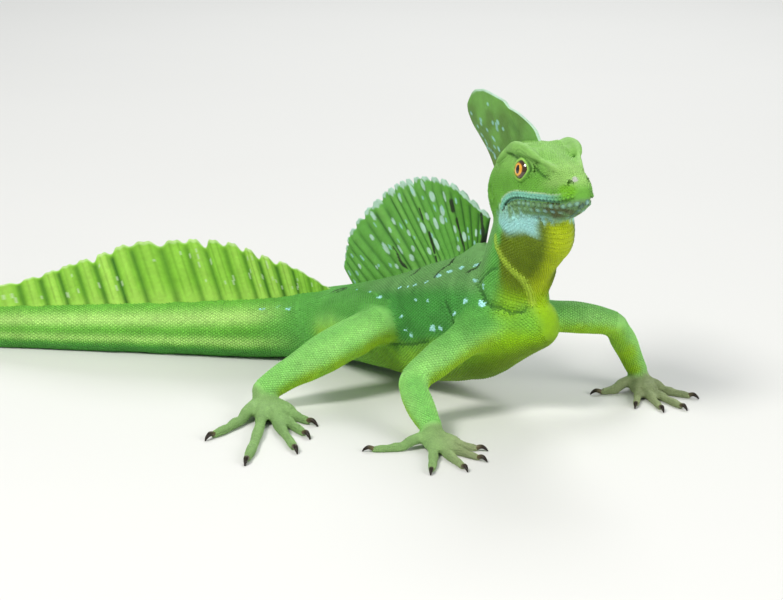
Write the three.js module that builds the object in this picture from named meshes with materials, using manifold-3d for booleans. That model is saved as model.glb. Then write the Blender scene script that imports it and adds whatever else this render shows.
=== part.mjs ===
// Green basilisk, an adult male at life size, standing on a flat floor with its
// head raised and turned, its crests spread and its long tail laid out behind.
// Millimetres, +Z up. The floor is z = 0. The sizes below are given in a working
// frame whose +X runs from the tail to the head and whose +Y points to the
// animal's far side, and the finished model is moved by ORIGIN at the end.
import * as THREE from "three";
import Module from "manifold-3d";
import { mergeVertices } from "three/addons/utils/BufferGeometryUtils.js";

const wasm = await Module();
wasm.setup();

// Driving sizes
const ORIGIN = new THREE.Vector3(126.5, -137.35, 0); // moves the middle of the footprint to x = y = 0
const GAP = 0.3; // clearance between touching pieces
const FLOOR_PRESS = 0.35; // how far a sole or the tail is pressed flat
const TOP = new THREE.Vector3(0, 0, 1);

const radians = THREE.MathUtils.degToRad;
const vec = ([x, y, z]) => new THREE.Vector3(x, y, z);
const signedPower = (value, power) => Math.sign(value) * Math.abs(value) ** power;
const direction = (yaw) => new THREE.Vector3(Math.cos(radians(yaw)), Math.sin(radians(yaw)), 0);

// A closed solid from shared vertices and triangles, turned to face out.
function solidFrom(points, triangles) {
  let volume = 0;
  for (const [a, b, c] of triangles) {
    volume += points[a].dot(new THREE.Vector3().crossVectors(points[b], points[c]));
  }
  const facing = volume < 0 ? triangles.map(([a, b, c]) => [a, c, b]) : triangles;
  const vertProperties = new Float32Array(points.flatMap((p) => [p.x, p.y, p.z]));
  const triVerts = new Uint32Array(facing.flat());
  return new wasm.Manifold(new wasm.Mesh({ numProp: 3, vertProperties, triVerts }));
}

// A closed solid from a three.js geometry, placed by a matrix.
function solidOf(geometry, matrix = new THREE.Matrix4()) {
  const bare = geometry.clone().applyMatrix4(matrix);
  bare.deleteAttribute("normal");
  bare.deleteAttribute("uv");
  const merged = mergeVertices(bare, 1e-4);
  const at = merged.getAttribute("position");
  const points = Array.from({ length: at.count }, (_, i) => new THREE.Vector3().fromBufferAttribute(at, i));
  const triangles = [];
  for (let i = 0; i < merged.index.count; i += 3) {
    triangles.push([0, 1, 2].map((k) => merged.index.getX(i + k)));
  }
  return solidFrom(points, triangles.filter(([a, b, c]) => a !== b && b !== c && a !== c));
}

const ball = (centre, radius, around = 14, down = 10) =>
  solidOf(new THREE.SphereGeometry(radius, around, down), new THREE.Matrix4().setPosition(centre));

// Joins rings of equal length into one closed skin, fanned shut at both ends.
function skinOver(rings) {
  const sides = rings[0].length;
  const points = rings.flat();
  const middle = (ring) => ring.reduce((sum, p) => sum.add(p), new THREE.Vector3()).divideScalar(sides);
  const triangles = [];
  for (let r = 0; r + 1 < rings.length; r++) {
    for (let k = 0; k < sides; k++) {
      const a = r * sides + k;
      const b = r * sides + ((k + 1) % sides);
      triangles.push([a, b, b + sides], [a, b + sides, a + sides]);
    }
  }
  const firstCentre = points.push(middle(rings[0])) - 1;
  const lastCentre = points.push(middle(rings.at(-1))) - 1;
  const lastRing = (rings.length - 1) * sides;
  for (let k = 0; k < sides; k++) {
    const next = (k + 1) % sides;
    triangles.push([firstCentre, next, k], [lastCentre, lastRing + k, lastRing + next]);
  }
  return solidFrom(points, triangles);
}

// A body of changing oval section along a smooth path. Each station is
// [x, y, z, half width, height above the path, depth below it, heading]. The
// heading, in degrees, is given where the path climbs steeply, as up the neck.
const DOME = [65, 30]; // leans, in degrees, of the rings that round off an end

class Sweep {
  constructor(stations, { sides = 12, steps = 10, roundness = 2, startDome = DOME, endDome = DOME } = {}) {
    Object.assign(this, { stations, sides, steps, roundness, startDome, endDome });
    this.path = new THREE.CatmullRomCurve3(stations.map(vec), false, "centripetal");
    this.sizes = new THREE.CatmullRomCurve3(
      stations.map(([, , , w, up = w, down = up]) => new THREE.Vector3(w, up, down)),
      false, "centripetal");
  }

  headingAt(t) {
    const scaled = t * (this.stations.length - 1);
    const i = Math.min(Math.floor(scaled), this.stations.length - 2);
    return THREE.MathUtils.lerp(this.stations[i][6], this.stations[i + 1][6], scaled - i);
  }

  frameAt(t) {
    const centre = this.path.getPoint(t);
    const ahead = this.path.getTangent(t);
    const across = this.stations[0].length > 6
      ? new THREE.Vector3().crossVectors(TOP, direction(this.headingAt(t)))
      : new THREE.Vector3().crossVectors(TOP, ahead);
    const above = new THREE.Vector3().crossVectors(ahead, across).normalize();
    across.crossVectors(above, ahead).normalize();
    return { centre, ahead, across, above };
  }

  // The point of the section at an angle: 0 is the left flank and 90 the back.
  point(t, angle, grow = 0, shrink = 1, slide = 0) {
    const { centre, ahead, across, above } = this.frameAt(t);
    const { x: width, y: up, z: down } = this.sizes.getPoint(t);
    const power = 2 / this.roundness;
    const side = signedPower(Math.cos(angle), power) * (width * shrink + grow);
    const height = Math.sin(angle) > 0 ? up : down;
    const rise = signedPower(Math.sin(angle), power) * (height * shrink + grow);
    centre.addScaledVector(across, side).addScaledVector(above, rise);
    return centre.addScaledVector(ahead, slide);
  }

  ring(t, grow, shrink, slide) {
    return Array.from({ length: this.sides }, (_, k) =>
      this.point(t, (2 * Math.PI * k) / this.sides, grow, shrink, slide));
  }

  // The solid from one place on the path to another. A dome is given by the
  // leans, in degrees, of its rings from the end of the path.
  solid({ grow = 0, from = 0, to = 1 } = {}) {
    const rings = [];
    const steps = Math.max(2, Math.round(this.steps * (to - from)));
    const dome = (t, sign, leans) => leans.map((lean) => {
      const thick = this.sizes.getPoint(t);
      const reach = Math.min(thick.x, thick.y, thick.z) + grow;
      const shrink = Math.cos(radians(lean));
      return this.ring(t, grow * shrink, shrink, sign * reach * Math.sin(radians(lean)));
    });
    if (from === 0) rings.push(...dome(0, -1, this.startDome));
    for (let i = 0; i <= steps; i++) rings.push(this.ring(from + ((to - from) * i) / steps, grow, 1, 0));
    if (to === 1) rings.push(...dome(1, 1, this.endDome).reverse());
    return skinOver(rings);
  }
}

// A thin upright sheet between a root curve and an edge curve, the rays of which
// stand out as ridges on both faces. The grid is split the same way on both.
function crestSheet({ root, edge, rays, rows, rootThick, edgeThick, ridge, dip, across }) {
  const perRay = 3;
  const columns = rays * perRay;
  const faces = [[], []];
  for (let c = 0; c <= columns; c++) {
    const t = c / columns;
    const onRay = 0.5 + 0.5 * Math.cos((2 * Math.PI * c) / perRay + Math.PI);
    const low = root(t);
    const high = edge(t);
    const tip = high.clone().lerp(low, dip * (1 - onRay));
    for (let r = 0; r <= rows; r++) {
      const up = r / rows;
      const half = 0.5 * THREE.MathUtils.lerp(rootThick, edgeThick, up) + ridge * onRay * (1 - 0.4 * up);
      const at = low.clone().lerp(tip, up);
      const side = across(t);
      faces[0].push(at.clone().addScaledVector(side, half));
      faces[1].push(at.clone().addScaledVector(side, -half));
    }
  }
  const stride = rows + 1;
  const back = faces[0].length;
  const triangles = [];
  for (let c = 0; c < columns; c++) {
    for (let r = 0; r < rows; r++) {
      const a = c * stride + r;
      for (const [i, j, k] of [[a, a + stride, a + stride + 1], [a, a + stride + 1, a + 1]]) {
        triangles.push([i, j, k], [back + k, back + j, back + i]);
      }
    }
  }
  const rim = [];
  for (let c = 0; c <= columns; c++) rim.push(c * stride);
  for (let r = 1; r <= rows; r++) rim.push(columns * stride + r);
  for (let c = columns - 1; c >= 0; c--) rim.push(c * stride + rows);
  for (let r = rows - 1; r > 0; r--) rim.push(r);
  rim.forEach((a, i) => {
    const b = rim[(i + 1) % rim.length];
    triangles.push([a, back + a, back + b], [a, back + b, b]);
  });
  return solidFrom([...faces[0], ...faces[1]], triangles);
}

const curveThrough = (points) => new THREE.CatmullRomCurve3(points, false, "centripetal");
const largestOf = (solid) =>
  solid.decompose().sort((a, b) => b.volume() - a.volume())[0];

// Trunk, from the hips to the breast: x, y, z, half width, up, down
const TRUNK_STATIONS = [
  [-34, 99.5, 14.4, 13.5, 12.2, 14.4],
  [-18, 96, 16.5, 16, 13.5, 15.6],
  [0, 81, 20.5, 18.5, 16.5, 18.5],
  [18, 61, 25.5, 20, 20, 22.3],
  [33, 43.5, 31, 18.2, 22, 22],
  [45, 31, 33.5, 15, 19.5, 15.5],
  [53, 22.8, 34, 9, 11, 9.5],
];
const trunk = new Sweep(TRUNK_STATIONS, { sides: 20, steps: 14, roundness: 2.15, startDome: [] });

// Tail, from its root to its tip, higher than wide and pressed flat on the floor
const TAIL_STATIONS = [
  [-34, 99.5, 14.4, 13.5, 12.2, 14],
  [-50, 101.5, 12, 11, 12.2, 12],
  [-78, 105, 10.6, 8.6, 11.2, 10.6],
  [-113, 110, 9.4, 7.2, 10.2, 9.4],
  [-152, 115, 8.4, 6, 9, 8.4],
  [-200, 120, 7.4, 5, 7.8, 7.4],
  [-252, 134, 6.2, 4.1, 6.4, 6.2],
  [-303, 163, 4.8, 3.3, 4.9, 4.8],
  [-343, 208, 3.5, 2.5, 3.4, 3.5],
  [-364, 262, 2.3, 1.8, 2.2, 2.3],
  [-366, 318, 1.3, 1.1, 1.2, 1.3],
].map(([x, y, z, w, up, down]) => [x, y, z, w, up, down + FLOOR_PRESS]);
const tail = new Sweep(TAIL_STATIONS, { sides: 14, steps: 40, startDome: [], endDome: [40] });
const TAIL_CUTS = [0, 0.2, 0.4, 0.6, 0.8, 1]; // shares of the path where the tail is parted

// Neck with the throat pouch, climbing from inside the breast into the head
const neck = new Sweep([
  [42.5, 33, 38, 12, 14, 14, -50],
  [43.8, 31, 46, 12, 14.5, 13, -52],
  [45.3, 30, 53, 11.2, 14.5, 15, -54],
  [47, 28.5, 60, 11, 15, 15.5, -56],
  [49, 26, 67.5, 11.2, 15, 18.5, -58],
  [50.5, 23.5, 75, 11, 13.5, 23, -62],
  [50.5, 22.5, 82, 10, 11, 20, -66],
], { sides: 16, steps: 8 });

// Head
const HEAD_PLACE = new THREE.Vector3(65.8, -10, 90); // tip of the snout, on the line of the lips
const HEAD_YAW = -67;
const HEAD_PITCH = 10;
// Distance behind the snout tip, half width, top, bottom, all from the line of the lips
const HEAD_SECTIONS = [
  [0, 3, 2.4, -2.2],
  [1.6, 4.6, 5.4, -4.2],
  [6, 7, 9, -6.6],
  [12, 9, 11.5, -8.3],
  [19, 11, 14.5, -10],
  [28, 12.6, 17.6, -12],
  [38, 12.7, 18.6, -14.5],
  [47, 12.3, 17.5, -16],
  [55, 10.8, 13.5, -15.5],
  [60, 8, 8.5, -12],
  [63, 5, 2, -6],
];
// Each eye is turned a little to the front and up, in degrees
const EYE = { back: 25.8, out: 7.6, up: 8.5, radius: 5.2, turn: 15, tilt: 10 };
const headFrame = new THREE.Matrix4()
  .makeTranslation(HEAD_PLACE.x, HEAD_PLACE.y, HEAD_PLACE.z)
  .multiply(new THREE.Matrix4().makeRotationZ(radians(HEAD_YAW)))
  .multiply(new THREE.Matrix4().makeRotationY(-radians(HEAD_PITCH)));
const inHead = (back, left, up) => new THREE.Vector3(-back, left, up).applyMatrix4(headFrame);

const headCurve = curveThrough(
  HEAD_SECTIONS.map(([back, width, top]) => new THREE.Vector3(back, width, top)));
const headFloor = curveThrough(
  HEAD_SECTIONS.map(([back, , , bottom]) => new THREE.Vector3(back, 0, bottom)));
const HEAD_ROUNDNESS = 2.35;
const CROWN_TAPER = 0.24; // how much narrower the crown is than the cheeks
const SNOUT = 2.8; // radius of the rounded tip of the snout

// The frame of an eye, its +Z looking out, and points along that look.
function eyeFrame(side) {
  return headFrame.clone()
    .multiply(new THREE.Matrix4().makeTranslation(-EYE.back, side * EYE.out, EYE.up))
    .multiply(new THREE.Matrix4().makeRotationZ(-side * radians(EYE.turn)))
    .multiply(new THREE.Matrix4().makeRotationX(-side * radians(90 - EYE.tilt)));
}
const alongGaze = (side, far) => new THREE.Vector3(0, 0, far).applyMatrix4(eyeFrame(side));
// The lids: a ball set deeper than the eye, with a rim round its opening
const LID = { sunk: 1.5, radius: 6.3, opening: 4.1, rim: 0.75, ahead: 3.4 };
// The ridge over each eye: distance behind the snout, out, up, radius
const BROW = [
  [8, 4.6, 8.6, 0.9], [16, 7.4, 12.2, 1.3], [22, 9.4, 15.6, 2.2],
  [29, 10.2, 16.8, 2.4], [37, 9.8, 15.6, 1.8], [45, 10.6, 11.5, 1],
];
const EAR = { back: 50.5, up: 0.5, radius: 7, proud: 6.1 }; // a shallow cup cut by a ball
const NOSTRIL = { back: 4.2, out: 6.4, up: 5.6, radius: 1.2 };

// Half width, top and bottom of the head at a share of its length.
function headSection(t) {
  const { x: back, y: width, z: top } = headCurve.getPoint(t);
  return { back, width, top, bottom: headFloor.getPoint(t).z };
}

function headPoint(t, angle, grow = 0) {
  const { back, width, top, bottom } = headSection(t);
  const power = 2 / HEAD_ROUNDNESS;
  const rise = signedPower(Math.sin(angle), power);
  const taper = rise > 0 ? 1 - CROWN_TAPER * rise ** 2 : 1 - 0.2 * rise ** 2;
  const side = signedPower(Math.cos(angle), power) * (width + grow) * taper;
  return inHead(back, side, rise > 0 ? rise * (top + grow) : -rise * (bottom - grow));
}

function headSolid(grow = 0) {
  const sides = 24;
  const steps = 18;
  const ringAt = (t) =>
    Array.from({ length: sides }, (_, k) => headPoint(t, (2 * Math.PI * k) / sides, grow));
  const rings = Array.from({ length: steps + 1 }, (_, i) => ringAt(i / steps));
  return skinOver(rings).add(ball(inHead(SNOUT, 0, 0), SNOUT + grow));
}

// Half width of the head at a distance behind the snout and a height.
function halfWidthAt(back, up) {
  let t = 0.5;
  for (let step = 0.25; step > 1e-4; step /= 2) t += headSection(t).back < back ? step : -step;
  const { width, top, bottom } = headSection(t);
  const rise = Math.min(1, Math.abs(up) / (up > 0 ? top : -bottom));
  const taper = up > 0 ? 1 - CROWN_TAPER * rise ** 2 : 1 - 0.2 * rise ** 2;
  return width * (1 - rise ** HEAD_ROUNDNESS) ** (1 / HEAD_ROUNDNESS) * taper;
}

// A round tube through points, thick as the radii say.
function cord(points, radii, sides = 6, steps = 8, startDome = [35]) {
  const stations = points.map((p, i) => [p.x, p.y, p.z, radii[i]]);
  return new Sweep(stations, { sides, steps, startDome, endDome: [35] }).solid();
}

// The line of the mouth: distance behind the snout and height
const MOUTH = [[0, -1.4], [10, -2.4], [24, -2.2], [32.5, -3], [37.5, -6.6]];

function lip(side, lift, thick) {
  const front = MOUTH[0][1] + lift;
  const points = [
    inHead(1.6, side * 3, front),
    inHead(5, side * (halfWidthAt(5, front) - 0.4), front),
    ...MOUTH.slice(1).map(([back, up]) =>
      inHead(back, side * (halfWidthAt(back, up + lift) - 0.35 * thick), up + lift)),
  ];
  const radii = [0.8, 1, 1, 1, 1, 0.7].map((share) => share * thick);
  return cord(points, radii, 5, 7);
}

// All that lies under the mouth, as a slab to part the jaw from the head.
function jawSlab(lift) {
  const outline = new THREE.Shape();
  outline.moveTo(8, MOUTH[0][1] + 0.3 + lift);
  MOUTH.forEach(([back, up]) => outline.lineTo(-back, up + lift));
  outline.lineTo(-44 - lift, -9);
  outline.lineTo(-50 - lift, -40);
  outline.lineTo(8, -40);
  const slab = new THREE.ExtrudeGeometry(outline, { depth: 60, bevelEnabled: false });
  slab.rotateX(Math.PI / 2).translate(0, 30, 0);
  return solidOf(slab, headFrame);
}

function makeHead() {
  let solid = headSolid();
  for (const side of [1, -1]) {
    const brow = BROW.map(([back, out, up]) => inHead(back, side * out, up));
    solid = solid.add(cord(brow, BROW.map((station) => station[3]), 6, 5));
    solid = solid.add(ball(alongGaze(side, -LID.sunk), LID.radius, 14, 9));
    const lid = new THREE.TorusGeometry(LID.opening, LID.rim, 5, 12).translate(0, 0, LID.ahead);
    solid = solid.add(solidOf(lid, eyeFrame(side)));
    solid = solid.add(lip(side, 1.2, 0.95)).add(lip(side, -1.2, 0.95));
    solid = solid.subtract(ball(alongGaze(side, 0), EYE.radius + GAP, 12, 9));
    const ear = inHead(EAR.back, side * (halfWidthAt(EAR.back, 0) + EAR.proud), EAR.up);
    solid = solid.subtract(ball(ear, EAR.radius, 14, 12));
    const nostril = inHead(NOSTRIL.back, side * NOSTRIL.out, NOSTRIL.up);
    solid = solid.subtract(ball(nostril, NOSTRIL.radius, 8, 6));
  }
  return solid;
}

// The casque on the back of the head, as [distance behind the snout, height]
const CASQUE_ROOT = [[31, 15.5], [48, 14.5], [60, 5.5]];
const CASQUE_EDGE = [
  [31, 17.6], [34.8, 22.4], [45.3, 28.3], [51.3, 30.8], [53.2, 33], [61.6, 36.6], [67, 37.7],
  [73, 36.3], [77.8, 32], [79.2, 26.5], [76.4, 19.5], [72.4, 12.5], [68.5, 5],
];
const CASQUE_LEAN = 5.8; // how far its tip leans to the right

function makeCasque() {
  const across = inHead(0, 1, 0).sub(inHead(0, 0, 0));
  const lean = (back, up) =>
    -CASQUE_LEAN * THREE.MathUtils.clamp((up - 18) / 30 + (back - 40) / 68, 0, 1) ** 2;
  const place = (line) => curveThrough(line.map(([back, up]) => inHead(back, lean(back, up), up)));
  const root = place(CASQUE_ROOT);
  const edge = place(CASQUE_EDGE);
  return crestSheet({
    root: (t) => root.getPoint(t), edge: (t) => edge.getPoint(t), across: () => across,
    rays: 8, rows: 3, rootThick: 2.6, edgeThick: 1, ridge: 0.12, dip: 0.012,
  });
}

// Dorsal sail: where each key ray is rooted along the back, and its tip, both as
// [distance ahead of the hips along the trunk, height]
const SAIL_ROOT = [[6, 29], [25.7, 37], [46, 45], [57, 49.5], [67, 53.5], [75, 60]];
const SAIL_TIP = [[-4, 36], [-1, 50], [19, 69.5], [34, 77.8], [55, 80.6], [78.5, 71]];
const SAIL_RAYS = 21;
const HIPS = new THREE.Vector3(-16, 100, 0);
const TRUNK_YAW = -48.6;
const overTrunk = ([ahead, up]) => HIPS.clone().addScaledVector(direction(TRUNK_YAW), ahead).setZ(up);

// The ridge of the back that the sail stands on, sunk so that its top covers the root
const RIDGE_RADII = [2.5, 4, 5, 5.4, 5.2, 4.2];
const RIDGE_SUNK = 0.72; // as a share of its radius
const ridge = new Sweep(SAIL_ROOT.map(([ahead, up], i) => {
  const { x, y, z } = overTrunk([ahead, up - RIDGE_SUNK * RIDGE_RADII[i]]);
  return [x, y, z, RIDGE_RADII[i]];
}), { sides: 8, steps: 6 });

function makeSail() {
  const across = new THREE.Vector3().crossVectors(TOP, direction(TRUNK_YAW));
  const root = curveThrough(SAIL_ROOT.map(overTrunk));
  const edge = curveThrough(SAIL_TIP.map(overTrunk));
  return crestSheet({
    root: (t) => root.getPoint(t), edge: (t) => edge.getPoint(t), across: () => across,
    rays: SAIL_RAYS, rows: 3, rootThick: 3, edgeThick: 0.9, ridge: 0.4, dip: 0.05,
  });
}

// Tail crest: the tips of its key rays as [x, height over the floor]
const TAIL_CREST_TIPS = [
  [-22, 27.4], [-30, 32], [-40, 37.6], [-51, 41.6], [-61, 45.6], [-73, 47.2], [-85, 46.4], [-103, 44.6],
  [-115, 39.8], [-126, 35.6], [-137, 31.2], [-151, 26.6], [-175, 21.5], [-205, 16.5], [-236, 12.5],
];
const TAIL_RAYS = 22;
const RAY_LEAN = 0.34; // how far a ray's tip lies behind its root for each unit of height
const BACK = [...TRUNK_STATIONS.slice(0, 2).reverse(), ...TAIL_STATIONS.slice(1)];

// The place on the midline of the back over an x, above the hips or the tail.
function backAt(x) {
  const i = Math.max(1, BACK.findIndex((station) => station[0] <= x));
  const [front, rear] = [BACK[i - 1], BACK[i]];
  const share = (front[0] - x) / (front[0] - rear[0]);
  const mix = (a, b) => THREE.MathUtils.lerp(a, b, share);
  return new THREE.Vector3(x, mix(front[1], rear[1]), mix(front[2] + front[4], rear[2] + rear[4]));
}

// The level direction square to the back over an x.
function acrossBack(x) {
  const along = backAt(x + 2).sub(backAt(x - 2)).setZ(0).normalize();
  return new THREE.Vector3().crossVectors(TOP, along);
}

function makeTailCrest() {
  const tips = curveThrough(TAIL_CREST_TIPS.map(([x, z]) => new THREE.Vector3(x, backAt(x).y, z)));
  const rootOf = (tip) => backAt(tip.x + RAY_LEAN * Math.max(0, tip.z - backAt(tip.x).z));
  return crestSheet({
    root: (t) => rootOf(tips.getPoint(t)).setZ(rootOf(tips.getPoint(t)).z - 3),
    edge: (t) => tips.getPoint(t),
    across: (t) => acrossBack(tips.getPoint(t).x),
    rays: TAIL_RAYS, rows: 3, rootThick: 2.8, edgeThick: 0.9, ridge: 0.35, dip: 0.09,
  });
}

// Limbs: each is an upper and a lower length, given as x, y, z, radius
const LIMBS = {
  arm_right: {
    upper: [[38, 29, 35, 8], [29, 22, 31.5, 7.6], [16, 15.5, 23, 6.2], [7, 12, 16.5, 5.5]],
    lower: [[7, 12, 16.5, 5.4], [9.6, 1, 12, 5.2], [14, -11, 6.6, 3.9]],
  },
  arm_left: {
    upper: [[46, 35, 34, 8], [56, 43.5, 32, 6.8], [70, 46, 31, 5.9], [83, 47, 28.5, 5]],
    lower: [[83, 47, 28.5, 4.9], [88, 53, 17.5, 4.7], [93, 58, 6.6, 3.6]],
  },
  leg_right: {
    upper: [[-14, 97, 17, 11], [-18, 87, 19, 11.5], [-12, 69, 24, 10.4], [-4, 52, 27, 7.6]],
    lower: [[-4, 52, 27, 7.2], [-22, 42, 20, 7.4], [-38, 35.5, 12, 5.6], [-47, 32, 7, 4.6]],
  },
  leg_left: {
    upper: [[-8, 100, 17, 10.5], [2, 112, 18.5, 10.5], [15, 124, 21.5, 9.6], [26, 133, 23.5, 7.4]],
    lower: [[26, 133, 23.5, 7], [8, 144, 17, 7.2], [-8, 154, 10.5, 5.4], [-16, 159, 7, 4.4]],
  },
};
const UPPER_NAME = { arm: "upper_arm", leg: "thigh" };
const LOWER_NAME = { arm: "forearm", leg: "shank" };
const END_NAME = { arm: "hand", leg: "foot" };

// Digits, first to fifth: length from the wrist or ankle to the root of the claw
const HAND = { lengths: [17, 23, 28, 29, 22], knuckle: 9, thick: 1.75, claw: 3.6, palm: 5.4 };
const FOOT = { lengths: [25, 36, 50, 61, 38], knuckle: 16, thick: 2.05, claw: 4.6, palm: 6.4 };
const DIGIT_RADII = [0.98, 1.04, 0.84, 0.86, 0.7]; // along a digit, as shares of its thickness
// Along a claw: how far ahead and how high, and its radius as a share of the digit's
const CLAW_SHAPE = [[0.45, 0.95, 0.45], [0.85, 0.6, 0.3]];
// The way that each digit points, in degrees from +X
const DIGIT_YAWS = {
  arm_right: [-12, -42, -68, -94, -176],
  arm_left: [-166, -100, -78, -60, -28],
  leg_right: [-42, -62, -75, -95, -122],
  leg_left: [32, 44, 55, 70, 95],
};

function makeDigit(from, yaw, restYaw, length, kind) {
  const { thick, knuckle, claw } = kind;
  const start = from.clone();
  const turn = THREE.MathUtils.lerp(restYaw, yaw, 0.75);
  const root = start.clone().addScaledVector(direction(turn), knuckle).setZ(thick + 1.1);
  const rest = Math.max(6, length - knuckle);
  const points = [start.setZ(from.z * 0.6), root];
  const radii = [thick * 1.25, thick * 1.15];
  const lastYaw = yaw + (yaw - turn) * 0.2;
  DIGIT_RADII.forEach((share, i) => {
    const bend = THREE.MathUtils.lerp(turn, lastYaw, (i + 1) / DIGIT_RADII.length);
    const radius = thick * share;
    const next = points.at(-1).clone().addScaledVector(direction(bend), rest / DIGIT_RADII.length);
    points.push(next.setZ(radius - FLOOR_PRESS));
    radii.push(radius);
  });
  const toe = cord(points, radii, 6, 6, []);
  const tip = points.at(-1);
  const fromTip = (far) => tip.clone().addScaledVector(direction(lastYaw), far);
  const clawPoints = [
    fromTip(-0.6),
    ...CLAW_SHAPE.map(([far, height]) => fromTip(claw * far).setZ(thick * height)),
    fromTip(claw * 1.05).setZ(FLOOR_PRESS),
  ];
  const clawRadii = [0.5, ...CLAW_SHAPE.map((station) => station[2]), 0.19];
  return toe.add(cord(clawPoints, clawRadii.map((share) => share * thick), 4, 2, []));
}

function makeEnd(limb, kind, wrist, restYaw) {
  let solid = null;
  DIGIT_YAWS[limb].forEach((yaw, i) => {
    const digit = makeDigit(wrist, yaw, restYaw, kind.lengths[i], kind);
    solid = solid ? solid.add(digit) : digit;
  });
  const ahead = direction(restYaw);
  const palmEnd = wrist.clone().addScaledVector(ahead, kind.knuckle * 0.95).setZ(2.1);
  const palmMid = wrist.clone().addScaledVector(ahead, kind.knuckle * 0.45).setZ(3);
  const palm = new Sweep([
    [wrist.x, wrist.y, wrist.z * 0.8, kind.palm * 0.68, 3.4, wrist.z * 0.8 + FLOOR_PRESS],
    [palmMid.x, palmMid.y, palmMid.z, kind.palm * 0.95, 3, 3 + FLOOR_PRESS],
    [palmEnd.x, palmEnd.y, palmEnd.z, kind.palm, 2, 2.1 + FLOOR_PRESS],
  ], { sides: 8, steps: 3, startDome: [35], endDome: [35] });
  return solid.add(palm.solid());
}

// Everything below the floor, to be taken off what is pressed on it.
const underFloor = solidOf(
  new THREE.BoxGeometry(1200, 1200, 60), new THREE.Matrix4().setPosition(0, 0, -30));

// The pieces as solids, in the order in which each takes its room from the last
const pieces = new Map();
const trunkRoom = trunk.solid({ grow: GAP }).add(ridge.solid({ grow: GAP }));
const tailRoom = tail.solid({ grow: GAP, from: 0, to: 0.62 });
const headRoom = headSolid(GAP);
const neckRoom = neck.solid({ grow: GAP });

const wholeHead = makeHead();

pieces.set("torso", trunk.solid().add(ridge.solid()));
pieces.set("neck", largestOf(neck.solid().subtract(trunkRoom).subtract(headRoom).subtract(wholeHead)));
pieces.set("lower_jaw", largestOf(wholeHead.intersect(jawSlab(0))));
pieces.set("head", largestOf(wholeHead.subtract(jawSlab(GAP))));
for (const [name, side] of [["eye_left", 1], ["eye_right", -1]]) {
  pieces.set(name, ball(alongGaze(side, 0), EYE.radius, 12, 9));
}
pieces.set("head_crest",
  largestOf(makeCasque().subtract(headRoom).subtract(wholeHead).subtract(neckRoom)));
pieces.set("dorsal_crest",
  largestOf(makeSail().subtract(trunkRoom).subtract(neckRoom).subtract(headRoom)));
pieces.set("tail_crest",
  largestOf(makeTailCrest().subtract(tailRoom).subtract(trunkRoom).subtract(pieces.get("dorsal_crest"))));

const tailShare = GAP / 2 / tail.path.getLength();
TAIL_CUTS.slice(1).forEach((end, i) => {
  const from = i === 0 ? tailShare * 2 : TAIL_CUTS[i] + tailShare;
  const to = end === 1 ? 1 : end - tailShare;
  const length = tail.solid({ from, to }).subtract(underFloor);
  pieces.set("tail_" + (i + 1), i === 0 ? largestOf(length.subtract(trunkRoom)) : length);
});

for (const [limb, { upper, lower }] of Object.entries(LIMBS)) {
  const [kind, side] = limb.split("_");
  const upperSweep = new Sweep(upper, { sides: 12, steps: 7 });
  const lowerSweep = new Sweep(lower, { sides: 12, steps: 7 });
  const upperRoom = upperSweep.solid({ grow: GAP });
  const lowerRoom = lowerSweep.solid({ grow: GAP });
  const wrist = vec(lower.at(-1));
  const yaws = DIGIT_YAWS[limb];
  const end = makeEnd(limb, kind === "arm" ? HAND : FOOT, wrist, yaws[2]);
  pieces.set(`${UPPER_NAME[kind]}_${side}`,
    largestOf(upperSweep.solid().subtract(trunkRoom).subtract(neckRoom).subtract(tailRoom)));
  pieces.set(`${LOWER_NAME[kind]}_${side}`,
    largestOf(lowerSweep.solid().subtract(upperRoom).subtract(trunkRoom)));
  pieces.set(`${END_NAME[kind]}_${side}`, largestOf(end.subtract(lowerRoom).subtract(underFloor)));
}

// Finishes: base colour, roughness
const FINISHES = {
  green: [0x4d9a2e, 0.55],
  lime: [0x8fbf1f, 0.55],
  leaf: [0x3f8f2c, 0.6],
  olive: [0x6f8f55, 0.6],
  eye: [0xd98a1c, 0.15],
};
const FINISH_OF = {
  eye_left: "eye", eye_right: "eye", head_crest: "leaf", dorsal_crest: "leaf", tail_crest: "lime",
  neck: "lime", hand_left: "olive", hand_right: "olive", foot_left: "olive", foot_right: "olive",
};
const materials = Object.fromEntries(Object.entries(FINISHES).map(([name, [color, roughness]]) =>
  [name, new THREE.MeshStandardMaterial({ color, roughness, metalness: 0 })]));

// A named mesh from a finished solid.
function meshOf(name, solid) {
  const { numProp, vertProperties, triVerts } = solid.getMesh();
  const position = new Float32Array((vertProperties.length / numProp) * 3);
  for (let i = 0; i * numProp < vertProperties.length; i++) {
    position.set(vertProperties.subarray(i * numProp, i * numProp + 3), i * 3);
  }
  const geometry = new THREE.BufferGeometry();
  geometry.setAttribute("position", new THREE.BufferAttribute(position, 3));
  geometry.setIndex(new THREE.BufferAttribute(new Uint32Array(triVerts), 1));
  const mesh = new THREE.Mesh(geometry, materials[FINISH_OF[name] ?? "green"]);
  mesh.name = name;
  return mesh;
}

const basilisk = new THREE.Group();
for (const [name, solid] of pieces) basilisk.add(meshOf(name, solid));
basilisk.position.copy(ORIGIN);

export default basilisk;
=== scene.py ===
"""The looks of the green basilisk: one skin over the whole body, scales on it,
ribbed crests, eyes, claws, light and camera.

Lengths are millimetres in the working frame of part.mjs (+X from tail to head,
+Y to the far side, floor at z = 0) until they become meshes, which are in
metres in the row frame.
"""

import itertools
import math

import bmesh
import bpy
import numpy as np
from mathutils import Matrix, Vector
from mathutils.bvhtree import BVHTree
from mathutils.kdtree import KDTree


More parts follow.
